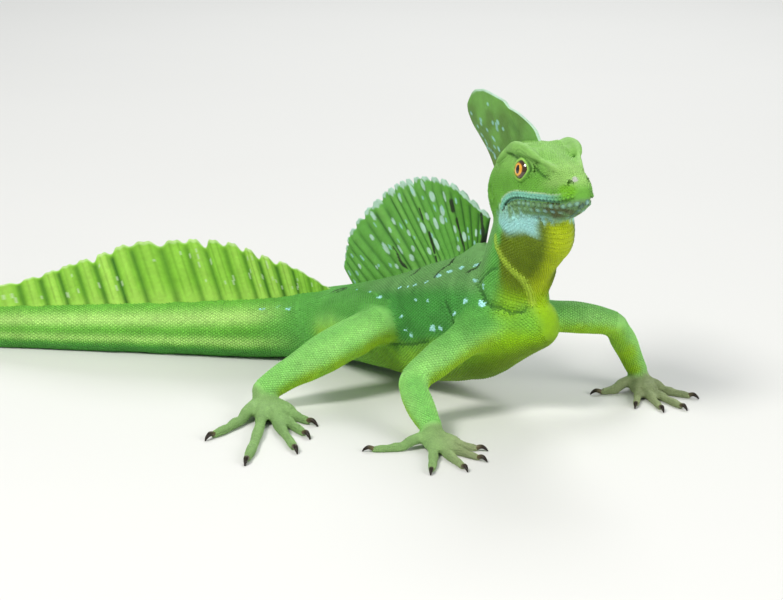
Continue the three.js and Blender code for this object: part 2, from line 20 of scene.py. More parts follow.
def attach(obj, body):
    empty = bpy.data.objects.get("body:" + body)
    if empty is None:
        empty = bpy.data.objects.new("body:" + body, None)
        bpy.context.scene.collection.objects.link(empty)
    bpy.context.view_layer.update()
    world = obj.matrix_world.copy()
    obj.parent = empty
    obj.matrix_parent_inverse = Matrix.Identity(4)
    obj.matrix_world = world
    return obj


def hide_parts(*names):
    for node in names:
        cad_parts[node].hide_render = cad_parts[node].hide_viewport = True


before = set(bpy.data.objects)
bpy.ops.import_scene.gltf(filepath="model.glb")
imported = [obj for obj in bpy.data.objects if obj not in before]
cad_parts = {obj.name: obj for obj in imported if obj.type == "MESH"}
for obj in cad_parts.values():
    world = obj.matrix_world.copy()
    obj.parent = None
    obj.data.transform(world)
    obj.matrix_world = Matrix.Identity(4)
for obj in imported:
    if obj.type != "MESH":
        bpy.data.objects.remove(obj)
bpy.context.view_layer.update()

MM = 0.001
ORIGIN = np.array([126.5, -137.35, 0.0])  # as in part.mjs
TOP = np.array([0.0, 0.0, 1.0])
CAP_LEANS = [85, 65, 45, 25]  # degrees to which the rings of a rounded end lean, from its tip
rng = np.random.default_rng(7)


# Small helpers on arrays of points

def unit(v):
    return v / np.maximum(np.linalg.norm(v, axis=-1, keepdims=True), 1e-9)


def ease(low, high, x):
    s = np.clip((x - low) / (high - low), 0.0, 1.0)
    return s * s * (3.0 - 2.0 * s)


def bump(x, width):
    """1 at x = 0, falling to 0 at x = width on both sides."""
    return 1.0 - ease(0.0, width, np.abs(x))


def direction(yaw):
    a = np.radians(yaw)
    return np.stack([np.cos(a), np.sin(a), np.zeros_like(a)], axis=-1)


def bulged(v, power):
    """A sine or cosine bent so that the circle becomes squarer."""
    return np.sign(v) * np.abs(v) ** power


def lattice(cells):
    """Repeatable values from 0 to 1, one for each whole-numbered cell."""
    mixed = cells @ np.array([12.9898, 78.233, 37.719])
    return np.modf(np.abs(np.sin(mixed) * 43758.5453))[0]


def noise_at(points, size):
    """Smooth noise from 0 to 1 with features of the given size."""
    p = points / size
    whole = np.floor(p)
    part = p - whole
    part = part * part * (3.0 - 2.0 * part)
    total = np.zeros(len(points))
    for corner in np.ndindex(2, 2, 2):
        weight = np.prod(np.where(corner, part, 1.0 - part), axis=1)
        total += weight * lattice(whole + corner)
    return total


class Curve:
    """A centripetal Catmull-Rom curve through points, evened as in part.mjs."""

    def __init__(self, points):
        p = np.asarray(points, float)
        self.points = np.vstack([2 * p[0] - p[1], p, 2 * p[-1] - p[-2]])
        self.spans = len(p) - 1

    def at(self, t):
        t = np.clip(np.atleast_1d(np.asarray(t, float)), 0.0, 1.0) * self.spans
        i = np.minimum(t.astype(int), self.spans - 1)
        w = (t - i)[:, None]
        p0, p1, p2, p3 = (self.points[i + k] for k in range(4))
        d0, d1, d2 = (np.sqrt(np.linalg.norm(b - a, axis=1, keepdims=True))
                      for a, b in ((p0, p1), (p1, p2), (p2, p3)))
        d1 = np.where(d1 < 1e-4, 1.0, d1)
        d0 = np.where(d0 < 1e-4, d1, d0)
        d2 = np.where(d2 < 1e-4, d1, d2)
        m1 = ((p1 - p0) / d0 - (p2 - p0) / (d0 + d1) + (p2 - p1) / d1) * d1
        m2 = ((p2 - p1) / d1 - (p3 - p1) / (d1 + d2) + (p3 - p2) / d2) * d1
        w2, w3 = w * w, w * w * w
        return ((2 * w3 - 3 * w2 + 1) * p1 + (w3 - 2 * w2 + w) * m1
                + (3 * w2 - 2 * w3) * p2 + (w3 - w2) * m2)

    def tangent(self, t):
        t = np.atleast_1d(np.asarray(t, float))
        low, high = np.clip(t - 1e-4, 0, 1), np.clip(t + 1e-4, 0, 1)
        return unit(self.at(high) - self.at(low))

    def even(self, count):
        """Points at even steps of t from end to end."""
        return self.at(np.linspace(0, 1, count))

    def length(self):
        return float(np.linalg.norm(np.diff(self.even(400), axis=0), axis=1).sum())


class Sweep:
    """A tube of changing oval section, as in part.mjs. Each station is
    [x, y, z, half width, height over the path, depth under it, heading]."""

    def __init__(self, name, stations, roundness=2.0, tip=1.0, pitch=0.9):
        self.name = name
        self.path = Curve([s[:3] for s in stations])
        self.sizes = Curve([s[3:6] if len(s) > 4 else [s[3]] * 3 for s in stations])
        self.headings = [s[6] for s in stations] if len(stations[0]) > 6 else None
        self.roundness = roundness
        self.tip = tip      # 1 where scales point on along the path, -1 where back
        self.pitch = pitch  # distance between scales

    def frames(self, t):
        centre, ahead = self.path.at(t), self.path.tangent(t)
        if self.headings:
            yaw = np.interp(np.atleast_1d(t) * (len(self.headings) - 1),
                            np.arange(len(self.headings)), self.headings)
            across = np.cross(TOP, direction(yaw))
        else:
            across = np.cross(TOP, ahead)
        above = unit(np.cross(ahead, across))
        return centre, ahead, unit(np.cross(above, ahead)), above

    def points(self, t, angle, shrink=1.0, slide=0.0):
        """Points of the section; angle 0 is the left flank, pi/2 the back."""
        t, angle = np.broadcast_arrays(np.atleast_1d(t), angle)
        centre, ahead, across, above = self.frames(t)
        size = self.sizes.at(t)
        power = 2.0 / self.roundness
        cos, sin = np.cos(angle), np.sin(angle)
        side = bulged(cos, power) * (size[:, 0] * shrink)
        rise = bulged(sin, power) * (np.where(sin > 0, size[:, 1], size[:, 2]) * shrink)
        return (centre + across * side[:, None] + above * rise[:, None]
                + ahead * np.reshape(slide, (-1, 1)))

    def solid(self, step=0.8, sides=40):
        """Vertices and faces of the closed tube with rounded ends."""
        around = np.linspace(0, 2 * np.pi, sides, endpoint=False)

        def cap(t, leans, way):
            reach = way * self.sizes.at(t).min()
            return [self.points(t, around, math.cos(lean), reach * math.sin(lean))
                    for lean in np.radians(leans)]

        steps = max(3, int(self.path.length() / step))
        rows = cap(0.0, CAP_LEANS, -1)
        rows += [self.points(t, around) for t in np.linspace(0, 1, steps)]
        rows += cap(1.0, CAP_LEANS[::-1], 1)
        return skin_over(rows)

    def samples(self):
        return sample_grid(self, max(3, int(self.path.length() / 1.6)), 28)


def sample_grid(part, steps, sides):
    """Points all over a part, each with its share of the path and its angle."""
    around = np.linspace(0, 2 * np.pi, sides, endpoint=False)
    t, angle = (v.ravel() for v in np.meshgrid(np.linspace(0, 1, steps), around, indexing="ij"))
    return part.points(t, angle), t, angle


def skin_over(rows):
    """Joins rings of equal length into a closed skin."""
    sides = len(rows[0])
    verts = np.vstack(rows + [rows[0].mean(axis=0), rows[-1].mean(axis=0)])
    faces = []
    for r in range(len(rows) - 1):
        for k in range(sides):
            a, b = r * sides + k, r * sides + (k + 1) % sides
            faces.append((a, b, b + sides, a + sides))
    first, last, base = len(verts) - 2, len(verts) - 1, (len(rows) - 1) * sides
    for k in range(sides):
        n = (k + 1) % sides
        faces.append((first, n, k))
        faces.append((last, base + k, base + n))
    return verts, faces


def ball(centre, radius, around=28, down=18):
    phi = np.linspace(0.12, np.pi - 0.12, down)
    theta = np.linspace(0, 2 * np.pi, around, endpoint=False)
    rows = [np.stack([radius * np.sin(p) * np.cos(theta), radius * np.sin(p) * np.sin(theta),
                      np.full(around, radius * np.cos(p))], axis=1) + centre for p in phi]
    return skin_over(rows)


# Body, with the stations of part.mjs

TRUNK = Sweep("trunk", [
    [-34, 99.5, 14.4, 13.5, 12.2, 14.4],
    [-18, 96, 16.5, 16, 13.5, 15.6],
    [0, 81, 20.5, 18.5, 16.5, 18.5],
    [18, 61, 25.5, 20, 20, 22.3],
    [33, 43.5, 31, 18.2, 22, 22],
    [45, 31, 33.5, 15, 19.5, 15.5],
    [53, 22.8, 34, 9, 11, 9.5],
], roundness=2.15, tip=-1, pitch=1.1)
TAIL_STATIONS = [
    [-34, 99.5, 14.4, 13.5, 12.2, 14.35],
    [-50, 101.5, 12, 11, 12.2, 12.35],
    [-78, 105, 10.6, 8.6, 11.2, 10.95],
    [-113, 110, 9.4, 7.2, 10.2, 9.75],
    [-152, 115, 8.4, 6, 9, 8.75],
    [-200, 120, 7.4, 5, 7.8, 7.75],
    [-252, 134, 6.2, 4.1, 6.4, 6.55],
    [-303, 163, 4.8, 3.3, 4.9, 5.15],
    [-343, 208, 3.5, 2.5, 3.4, 3.85],
    [-364, 262, 2.3, 1.8, 2.2, 2.65],
    [-366, 318, 1.3, 1.1, 1.2, 1.65],
]
TAIL = Sweep("tail", TAIL_STATIONS, pitch=1.15)
NECK = Sweep("neck", [
    [42.5, 33, 38, 12, 14, 14, -50],
    [43.8, 31, 46, 12, 14.5, 13, -52],
    [45.3, 30, 53, 11.2, 14.5, 15, -54],
    [47, 28.5, 60, 11, 15, 15.5, -56],
    [49, 26, 67.5, 11.2, 15, 18.5, -58],
    [50.5, 23.5, 75, 11, 13.5, 23, -62],
    [50.5, 22.5, 82, 10, 11, 20, -66],
], tip=-1, pitch=1.1)
LIMBS = {
    "arm_right": ([[38, 29, 35, 8], [29, 22, 31.5, 7.6], [16, 15.5, 23, 6.2], [7, 12, 16.5, 5.5]],
                  [[7, 12, 16.5, 5.4], [9.6, 1, 12, 5.2], [14, -11, 6.6, 3.9]]),
    "arm_left": ([[46, 35, 34, 8], [56, 43.5, 32, 6.8], [70, 46, 31, 5.9], [83, 47, 28.5, 5]],
                 [[83, 47, 28.5, 4.9], [88, 53, 17.5, 4.7], [93, 58, 6.6, 3.6]]),
    "leg_right": ([[-14, 97, 17, 11], [-18, 87, 19, 11.5], [-12, 69, 24, 10.4], [-4, 52, 27, 7.6]],
                  [[-4, 52, 27, 7.2], [-22, 42, 20, 7.4], [-38, 35.5, 12, 5.6], [-47, 32, 7, 4.6]]),
    "leg_left": ([[-8, 100, 17, 10.5], [2, 112, 18.5, 10.5], [15, 124, 21.5, 9.6], [26, 133, 23.5, 7.4]],
                 [[26, 133, 23.5, 7], [8, 144, 17, 7.2], [-8, 154, 10.5, 5.4], [-16, 159, 7, 4.4]]),
}
FLOOR_PRESS = 0.35
HAND = dict(lengths=[17, 23, 28, 29, 22], knuckle=9, thick=1.75, claw=3.6, palm=5.4)
FOOT = dict(lengths=[25, 36, 50, 61, 38], knuckle=16, thick=2.05, claw=4.6, palm=6.4)
DIGIT_YAWS = {
    "arm_right": [-12, -42, -68, -94, -176],
    "arm_left": [-166, -100, -78, -60, -28],
    "leg_right": [-42, -62, -75, -95, -122],
    "leg_left": [32, 44, 55, 70, 95],
}


def limb_sweeps():
    """Upper lengths, lower lengths, palms and digits, and the claws' paths."""
    sweeps, claws = [], []
    for limb, (upper, lower) in LIMBS.items():
        sweeps.append(Sweep("upper_" + limb, upper, pitch=1.05))
        sweeps.append(Sweep("lower_" + limb, lower, pitch=1.0))
        kind = HAND if limb.startswith("arm") else FOOT
        wrist = np.array(lower[-1][:3], float)
        rest_yaw = DIGIT_YAWS[limb][2]
        ahead = direction(rest_yaw)
        palm = []
        for share, height, half, up in ((0.0, wrist[2] * 0.8, 0.68, 3.4), (0.45, 3.0, 0.95, 3.0),
                                        (0.95, 2.1, 1.0, 2.0)):
            p = wrist + ahead * kind["knuckle"] * share
            palm.append([p[0], p[1], height, kind["palm"] * half, up, height + FLOOR_PRESS])
        sweeps.append(Sweep("palm_" + limb, palm, pitch=0.75))
        for i, (yaw, length) in enumerate(zip(DIGIT_YAWS[limb], kind["lengths"])):
            digit, claw = digit_paths(wrist, yaw, rest_yaw, length, kind)
            sweeps.append(Sweep(f"digit_{limb}_{i + 1}", digit, pitch=0.75))
            claws.append((f"claw_{limb}_{i + 1}", claw))
    return sweeps, claws


def digit_paths(wrist, yaw, rest_yaw, length, kind):
    thick, knuckle, claw = kind["thick"], kind["knuckle"], kind["claw"]
    turn = rest_yaw + (yaw - rest_yaw) * 0.75
    start = np.array([wrist[0], wrist[1], wrist[2] * 0.6])
    root = start + direction(turn) * knuckle
    root[2] = thick + 1.1
    rest = max(6.0, length - knuckle)
    stations = [[*start, thick * 1.25], [*root, thick * 1.15]]
    far_yaw = yaw + (yaw - turn) * 0.2
    for i, share in enumerate((0.98, 1.04, 0.84, 0.86, 0.7)):
        bend = turn + (far_yaw - turn) * (i + 1) / 5
        radius = thick * share
        point = np.array(stations[-1][:3]) + direction(bend) * rest / 5
        stations.append([point[0], point[1], radius - FLOOR_PRESS, radius])
    tip, ahead = np.array(stations[-1][:3]), direction(far_yaw)
    route = []
    for far, height, share in ((-0.6, tip[2], 0.8), (claw * 0.45, thick * 0.95, 0.72),
                               (claw * 0.85, thick * 0.6, 0.48), (claw * 1.05, 0.35, 0.25)):
        p = tip + ahead * far
        route.append([p[0], p[1], height, share * thick * 0.62])
    return stations, route


# Head, in its own frame: distance behind the snout, to the left, and up

HEAD_PLACE = np.array([65.8, -10, 90.0])
HEAD_YAW, HEAD_PITCH = math.radians(-67), math.radians(10)
AHEAD = np.array([math.cos(HEAD_YAW) * math.cos(HEAD_PITCH),
                  math.sin(HEAD_YAW) * math.cos(HEAD_PITCH), math.sin(HEAD_PITCH)])
LEFT = np.array([-math.sin(HEAD_YAW), math.cos(HEAD_YAW), 0.0])
UP = np.cross(AHEAD, LEFT)
HEAD_SECTIONS = np.array([
    [0, 3, 2.4, -2.2], [1.6, 4.6, 5.4, -4.2], [6, 7, 9, -6.6], [12, 9, 11.5, -8.3],
    [19, 11, 14.5, -10], [28, 12.6, 17.6, -12], [38, 12.7, 18.6, -14.5],
    [47, 12.3, 17.5, -16], [55, 10.8, 13.5, -15.5], [60, 8, 8.5, -12], [63, 5, 2, -6],
])
HEAD_ROUNDNESS = 2.35
CROWN_TAPER, JAW_TAPER = 0.24, 0.2
EYE = dict(back=25.8, out=7.6, up=8.5, radius=5.2, turn=math.radians(15), tilt=math.radians(10))
LID = dict(sunk=1.5, radius=6.3)
HEAD_LOW = 62  # the head's skin is higher than this
MOUTH = np.array([[0, -1.4], [6, -2.5], [17, -1.7], [29, -1.3], [35.5, -2.8], [41, -5.6]])


def in_head(back, left, up):
    back, left, up = (np.reshape(np.asarray(v, float), (-1, 1)) for v in (back, left, up))
    return HEAD_PLACE - back * AHEAD + left * LEFT + up * UP


def from_head(points):
    """Distance behind the snout, to the left, and up, of points."""
    d = points - HEAD_PLACE
    return -d @ AHEAD, d @ LEFT, d @ UP


def head_taper(rise, above):
    """How much narrower the head is over and under its middle height."""
    return 1 - np.where(above, CROWN_TAPER, JAW_TAPER) * rise ** 2


def mouth_height(back):
    return np.interp(back, MOUTH[:, 0], MOUTH[:, 1])


class Head:
    """The head's own swept form, with the interface of a Sweep."""
    name, tip, pitch = "head", 1.0, 0.95
    curve = Curve(HEAD_SECTIONS[:, :3])
    floor = Curve(HEAD_SECTIONS[:, [0, 3, 3]])

    def section(self, t):
        c, f = self.curve.at(t), self.floor.at(t)
        return c[:, 0], c[:, 1], c[:, 2], f[:, 1]

    def points(self, t, angle):
        t, angle = np.broadcast_arrays(np.atleast_1d(t), angle)
        back, width, top, bottom = self.section(t)
        power = 2 / HEAD_ROUNDNESS
        rise = bulged(np.sin(angle), power)
        side = bulged(np.cos(angle), power) * width * head_taper(rise, rise > 0)
        return in_head(back, side, np.where(rise > 0, rise * top, -rise * bottom))

    def solid(self):
        around = np.linspace(0, 2 * np.pi, 64, endpoint=False)
        return skin_over([self.points(t, around) for t in np.linspace(0, 1, 70)])

    def samples(self):
        return sample_grid(self, 40, 40)

    def half_width(self, back, up):
        backs, widths, tops, bottoms = self.section(np.linspace(0, 1, 300))
        width, top, bottom = (np.interp(back, backs, v) for v in (widths, tops, bottoms))
        rise = np.minimum(1, np.abs(up) / np.where(up > 0, top, -bottom))
        narrowed = width * (1 - rise ** HEAD_ROUNDNESS) ** (1 / HEAD_ROUNDNESS)
        return narrowed * head_taper(rise, up > 0)


HEAD = Head()


def eye_axes(side):
    """Centre of an eye, and its outward, forward and upward directions."""
    centre = in_head(EYE["back"], side * EYE["out"], EYE["up"])[0]
    level = side * math.cos(EYE["turn"]) * LEFT + math.sin(EYE["turn"]) * AHEAD
    out = math.cos(EYE["tilt"]) * level + math.sin(EYE["tilt"]) * UP
    fore = unit(AHEAD - out * (AHEAD @ out))
    return centre, out, fore, np.cross(out, fore) * side


def cord(name, points, radii):
    return Sweep(name, [[*p, r] for p, r in zip(np.asarray(points), radii)])


SAIL_ROOT = [[6, 29], [25.7, 37], [46, 45], [57, 49.5], [67, 53.5], [75, 60]]
HIPS = np.array([-16.0, 100.0, 0.0])
TRUNK_YAW = -48.6
RIDGE_RADII = [2.5, 4, 5, 5.4, 5.2, 4.2]
RIDGE_SUNK = 0.72  # of its radius
BROW = np.array([[8, 4.6, 8.6], [16, 7.4, 12.2], [22, 9.4, 15.6], [29, 10.2, 16.8],
                 [37, 9.8, 15.6], [45, 10.6, 11.5]])
BROW_RADII = [0.9, 1.3, 2.2, 2.4, 1.8, 1]
# Balls that fill the brow: distance behind the snout, to the side, up, and radius
BROW_BALLS = [[30, 6.4, 13.6, 4.8], [24, 5.6, 11.8, 4.6], [37, 5.6, 13.0, 4.6]]
SNOUT_RADIUS = 2.8


def over_trunk(line, drop=0.0):
    """Points over the trunk's middle from [distance ahead of the hips, height]."""
    along = direction(TRUNK_YAW)
    return np.array([[*(HIPS + along * ahead)[:2], up - drop] for ahead, up in line])


def body_extras():
    """The ridge of the back, the brows, lids and snout, to be fused into the skin."""
    ridge = over_trunk(SAIL_ROOT) - np.outer(RIDGE_RADII, TOP) * RIDGE_SUNK
    made = [cord("ridge", ridge, RIDGE_RADII).solid(1.0, 20)]
    for side in (1, -1):
        line = in_head(BROW[:, 0], side * BROW[:, 1], BROW[:, 2])
        made.append(cord("brow", line, BROW_RADII).solid(0.7, 20))
        for back, left, up, radius in BROW_BALLS:
            made.append(ball(in_head(back, side * left, up)[0], radius))
        centre, out, _, _ = eye_axes(side)
        made.append(ball(centre - out * LID["sunk"], LID["radius"]))
    made.append(ball(in_head(SNOUT_RADIUS, 0, 0)[0], SNOUT_RADIUS))
    return made


# Meshes

def linked(name, data):
    """A new object in the scene."""
    obj = bpy.data.objects.new(name, data)
    bpy.context.scene.collection.objects.link(obj)
    return obj


def make_object(name, verts, faces, material=None):
    """A mesh object in metres in the row frame from millimetre points."""
    mesh = bpy.data.meshes.new(name)
    mesh.from_pydata(((np.asarray(verts) + ORIGIN) * MM).tolist(), [], [tuple(f) for f in faces])
    mesh.update()
    mesh.shade_smooth()
    if material:
        mesh.materials.append(material)
    return linked(name, mesh)


def joined(parts):
    verts, faces, base = [], [], 0
    for v, f in parts:
        verts.append(v)
        faces.extend(tuple(i + base for i in face) for face in f)
        base += len(v)
    return np.vstack(verts), faces


def read_all(items, name, width, kind=float):
    """One property of all vertices or edges of a mesh, a row for each."""
    flat = np.empty(len(items) * width, kind)
    items.foreach_get(name, flat)
    return flat.reshape(-1, width)


def get_points(mesh):
    return read_all(mesh.vertices, "co", 3) / MM - ORIGIN


def get_normals(mesh):
    return read_all(mesh.vertices, "normal", 3)


def get_edges(mesh):
    return read_all(mesh.edges, "vertices", 2, int)


def set_points(mesh, points):
    mesh.vertices.foreach_set("co", ((points + ORIGIN) * MM).ravel())
    mesh.update()


def relax(points, edges, rounds, amount):
    """Laplacian smoothing; amount is one number or one for each point."""
    count = np.bincount(edges.ravel(), minlength=len(points))[:, None]
    amount = np.reshape(amount, (-1, 1))
    for _ in range(rounds):
        total = np.zeros_like(points)
        for axis in range(3):
            total[:, axis] = (
                np.bincount(edges[:, 0], points[edges[:, 1], axis], len(points))
                + np.bincount(edges[:, 1], points[edges[:, 0], axis], len(points)))
        points = points + (total / np.maximum(count, 1) - points) * amount
    return points


def near_line(points, line, reach):
    """Distance of each point to a line of close-set points, and the share of
    the line that is nearest. Points farther than reach get reach."""
    far = np.full(len(points), float(reach))
    share = np.zeros(len(points))
    low, high = line.min(axis=0) - reach, line.max(axis=0) + reach
    close = np.where(np.all((points > low) & (points < high), axis=1))[0]
    for start in range(0, len(close), 4000):
        some = close[start:start + 4000]
        d = np.linalg.norm(points[some][:, None, :] - line[None], axis=2)
        best = d.argmin(axis=1)
        far[some] = np.minimum(d[np.arange(len(some)), best], reach)
        share[some] = best / max(1, len(line) - 1)
    return far, share


SWEEPS, CLAWS = limb_sweeps()
BODY = [TRUNK, TAIL, NECK, HEAD] + SWEEPS
VOXEL = 0.62
FACE_BACK, FACE_LOW = 52, 60  # the skin is finer ahead of and over these


def fuse_body():
    """All of the body's forms as one smooth skin."""
    parts = [part.solid() for part in BODY] + body_extras()
    rough = make_object("skin", *joined(parts))
    modifier = rough.modifiers.new("fuse", "REMESH")
    modifier.mode, modifier.voxel_size = "VOXEL", VOXEL * MM
    graph = bpy.context.evaluated_depsgraph_get()
    mesh = bpy.data.meshes.new_from_object(rough.evaluated_get(graph))
    rough.modifiers.clear()
    rough.data = mesh
    mesh.shade_smooth()
    return rough


def refine(mesh, wanted):
    """Splits the faces whose centres are wanted, for finer detail there."""
    bm = bmesh.new()
    bm.from_mesh(mesh)
    centres = np.array([f.calc_center_median() for f in bm.faces]) / MM - ORIGIN
    chosen = wanted(centres)
    edges = {e for f, w in zip(bm.faces, chosen) if w for e in f.edges}
    bmesh.ops.subdivide_edges(bm, edges=list(edges), cuts=1, use_grid_fill=True)
    bmesh.ops.triangulate(bm, faces=[f for f in bm.faces if len(f.verts) > 4])
    bm.to_mesh(mesh)
    bm.free()
    mesh.shade_smooth()


skin = fuse_body()
refine(skin.data, lambda c: (from_head(c)[0] < FACE_BACK) & (c[:, 2] > FACE_LOW))


class Surface:
    """The nearest places on an object's surface, in millimetres."""

    def __init__(self, obj):
        self.tree = BVHTree.FromObject(obj, bpy.context.evaluated_depsgraph_get())

    def nearest(self, points):
        """The nearest places, the normals there, and the faces."""
        rows = ((np.asarray(points) + ORIGIN) * MM).tolist()
        hits = [self.tree.find_nearest(Vector(row)) for row in rows]
        places = np.array([hit[0] for hit in hits]) / MM - ORIGIN
        return places, np.array([hit[1] for hit in hits]), np.array([hit[2] for hit in hits])

    def onto(self, points):
        return self.nearest(points)[0]


def part_named(name):
    return next(part for part in BODY if part.name == name)


def on_body(stations, mirrored=False):
    """Points of body parts given as [part, share of its path, degrees round it]."""
    rows = []
    for name, t, degrees in stations:
        angle = math.radians(180 - degrees if mirrored else degrees)
        rows.append(part_named(name).points(t, angle)[0])
    return np.array(rows)


def both_flanks(surface, stations, count=120):
    """The line through stations and the mirrored one, both laid on a surface."""
    for mirrored in (False, True):
        yield surface.onto(Curve(on_body(stations, mirrored)).even(count))


# Places where limbs, neck and tail grow out of the body: x, y, z, reach, strength
JOINS = [
    [-18, 86, 19, 30, 0.7], [-2, 108, 19, 28, 0.7], [32, 24, 31, 22, 0.6], [52, 38, 31, 20, 0.6],
    [50, 24, 46, 20, 0.6], [49, 24, 72, 20, 0.5], [53, 22, 34, 17, 0.7], [-34, 99, 14, 26, 0.6],
    [38, 42, 50, 16, 0.25], [22, 62, 42, 16, 0.25], [5, 82, 34, 16, 0.25],
    [7, 12, 16, 10, 0.4], [83, 47, 28, 9, 0.4], [-4, 52, 27, 13, 0.4], [26, 133, 23, 13, 0.4],
]
# Folds of the skin: width, depth (under zero for a ridge), and the line's stations
FOLDS = {
    "before_arm": (1.5, 0.9, [
        ["trunk", 0.757, 129], ["trunk", 0.797, 141], ["trunk", 0.838, 154], ["trunk", 0.892, 154],
        ["trunk", 0.946, 154], ["trunk", 1.0, 141], ["neck", 0.185, 257]]),
    "throat": (1.7, -1.0, [
        ["neck", 0.2, 262], ["neck", 0.333, 244], ["neck", 0.407, 231], ["neck", 0.481, 206],
        ["neck", 0.54, 185], ["neck", 0.6, 160]]),
    "belly": (1.4, 0.5, [["trunk", 0.45, 193], ["trunk", 0.53, 193], ["trunk", 0.62, 190]]),
    "neck_side": (1.3, 0.5, [["neck", 0.15, 150], ["neck", 0.3, 165], ["neck", 0.42, 190]]),
    "shoulder": (1.3, 0.45, [["trunk", 0.66, 150], ["trunk", 0.7, 175], ["trunk", 0.72, 200]]),
}
JAW_FOLD = np.array([[44, -5], [46, -9.5], [42, -13.5], [34, -14.5]])
BROW_FOLD = np.array([[36, 14.6], [28.75, 13], [20.5, 9.5], [14, 6.6], [9.5, 5.8]])
NOSTRIL, NOSTRIL_RADIUS = [2.9, 4.6], 0.95
EAR, EAR_RADIUS = [50.5, 0.5], 3.3  # distance behind the snout and height
# Lines on each side of the face: stations, lift, width, depth (under zero for a ridge)
FACE_LINES = [(MOUTH, 0.0, 0.75, 0.75), (MOUTH, 1.4, 1.0, -0.22), (MOUTH, -1.5, 1.0, -0.2),
              (JAW_FOLD, 0.0, 1.2, 0.5)]
FAR_AWAY = 50.0  # moves points that a line isn't meant for out of its reach
JOIN_ROUNDS, SKIN_ROUNDS, CROWN_ROUNDS = 130, 9, 60  # of smoothing
SKIN_SINK = 0.15  # leaves room for the scales
SWELL, SWELL_SIZE = 0.55, 7.0  # height and size of the skin's soft unevenness
SKIN_FLOOR = 0.02  # least height of the skin over the floor
LID_RINGS = dict(first=4.3, apart=1.15)  # the furrows round an eye's opening


def head_line(stations, side, lift=0.0):
    """Points on the side of the head, from [distance behind the snout, height]."""
    line = Curve([[b, u + lift, 0] for b, u in stations]).even(90)
    width = HEAD.half_width(line[:, 0], line[:, 1])
    return in_head(line[:, 0], side * width, line[:, 1])


def head_spot(surface, station, side):
    """The one place on a surface at [distance behind the snout, height]."""
    return surface.onto(head_line([station, np.add(station, 0.01)], side)[:1])


def lid_ring(x, y):
    """Distance from the middle of an eye, scaled so that the almond opening is round."""
    wide = np.where(x > 0, 1.06, 0.9) * (1 - 0.13 * np.clip(y / 3.2, 0, 1))
    return (np.abs(x / wide) ** 1.7 + np.abs(y / 1.02) ** 1.7) ** (1 / 1.7)


def around_eye(points, side):
    """The rings round an eye that points lie on, their heights over its middle,
    and whether they are on its outer side."""
    centre, out, fore, above = eye_axes(side)
    d = points - centre
    return lid_ring(d @ fore, d @ above), d @ above, d @ out > 0


def brow_fold(points, side):
    """Distance to the fold under a brow as seen from the side, and the share along it."""
    back, left, up = from_head(points)
    ring = around_eye(points, side)[0]
    aside = np.where((left * side > 7) & (points[:, 2] > HEAD_LOW), 0.0, FAR_AWAY)
    line = Curve([[b, u, 0] for b, u in BROW_FOLD]).even(120)
    far, share = near_line(np.stack([back, up, aside], axis=1), line, 4.0)
    return far + 4.0 * ease(5.4, 4.4, ring), share


def sunk(points, normals, depth):
    return points - normals * depth[:, None]


def faded(share, fall=0.88):
    """1 along a line, 0 at its ends."""
    return ease(0.0, 0.12, share) * ease(1.0, fall, share)


def push_along(points, normals, line, width, depth):
    """Sinks a furrow of a width and depth along a line, fading at its ends."""
    far, share = near_line(points, line, width * 1.6)
    return sunk(points, normals, depth * bump(far, width * 1.6) * faded(share))


def form_eyelids(points):
    """Opens the lids over each eye, with a rim and furrows round the opening."""
    for side in (1, -1):
        centre = eye_axes(side)[0]
        r, y, outer = around_eye(points, side)
        near = outer & (r < 9.5)
        far = np.linalg.norm(points - centre, axis=1)
        ray = unit(points - centre)
        opened = near * ease(3.05, 2.75, r)
        lid = near * ease(2.7, 3.1, r) * ease(5.2, 4.2, r)
        over_ball, under_ball = EYE["radius"] + 0.5, EYE["radius"] - 0.9
        target = np.maximum(far, over_ball * (lid > 0.02) * (0.9 + 0.1 * lid))
        target = target * (1 - opened) + under_ball * opened
        wave = (0.5 + 0.5 * np.cos(2 * np.pi * (r - LID_RINGS["first"]) / LID_RINGS["apart"])) ** 2
        furrow = near * wave * ease(3.7, 4.2, r) * ease(9.0, 6.0, r)
        furrow *= 0.22 + 0.28 * ease(2.0, -3.0, y)
        points = centre + ray * (target - furrow)[:, None]
    return points


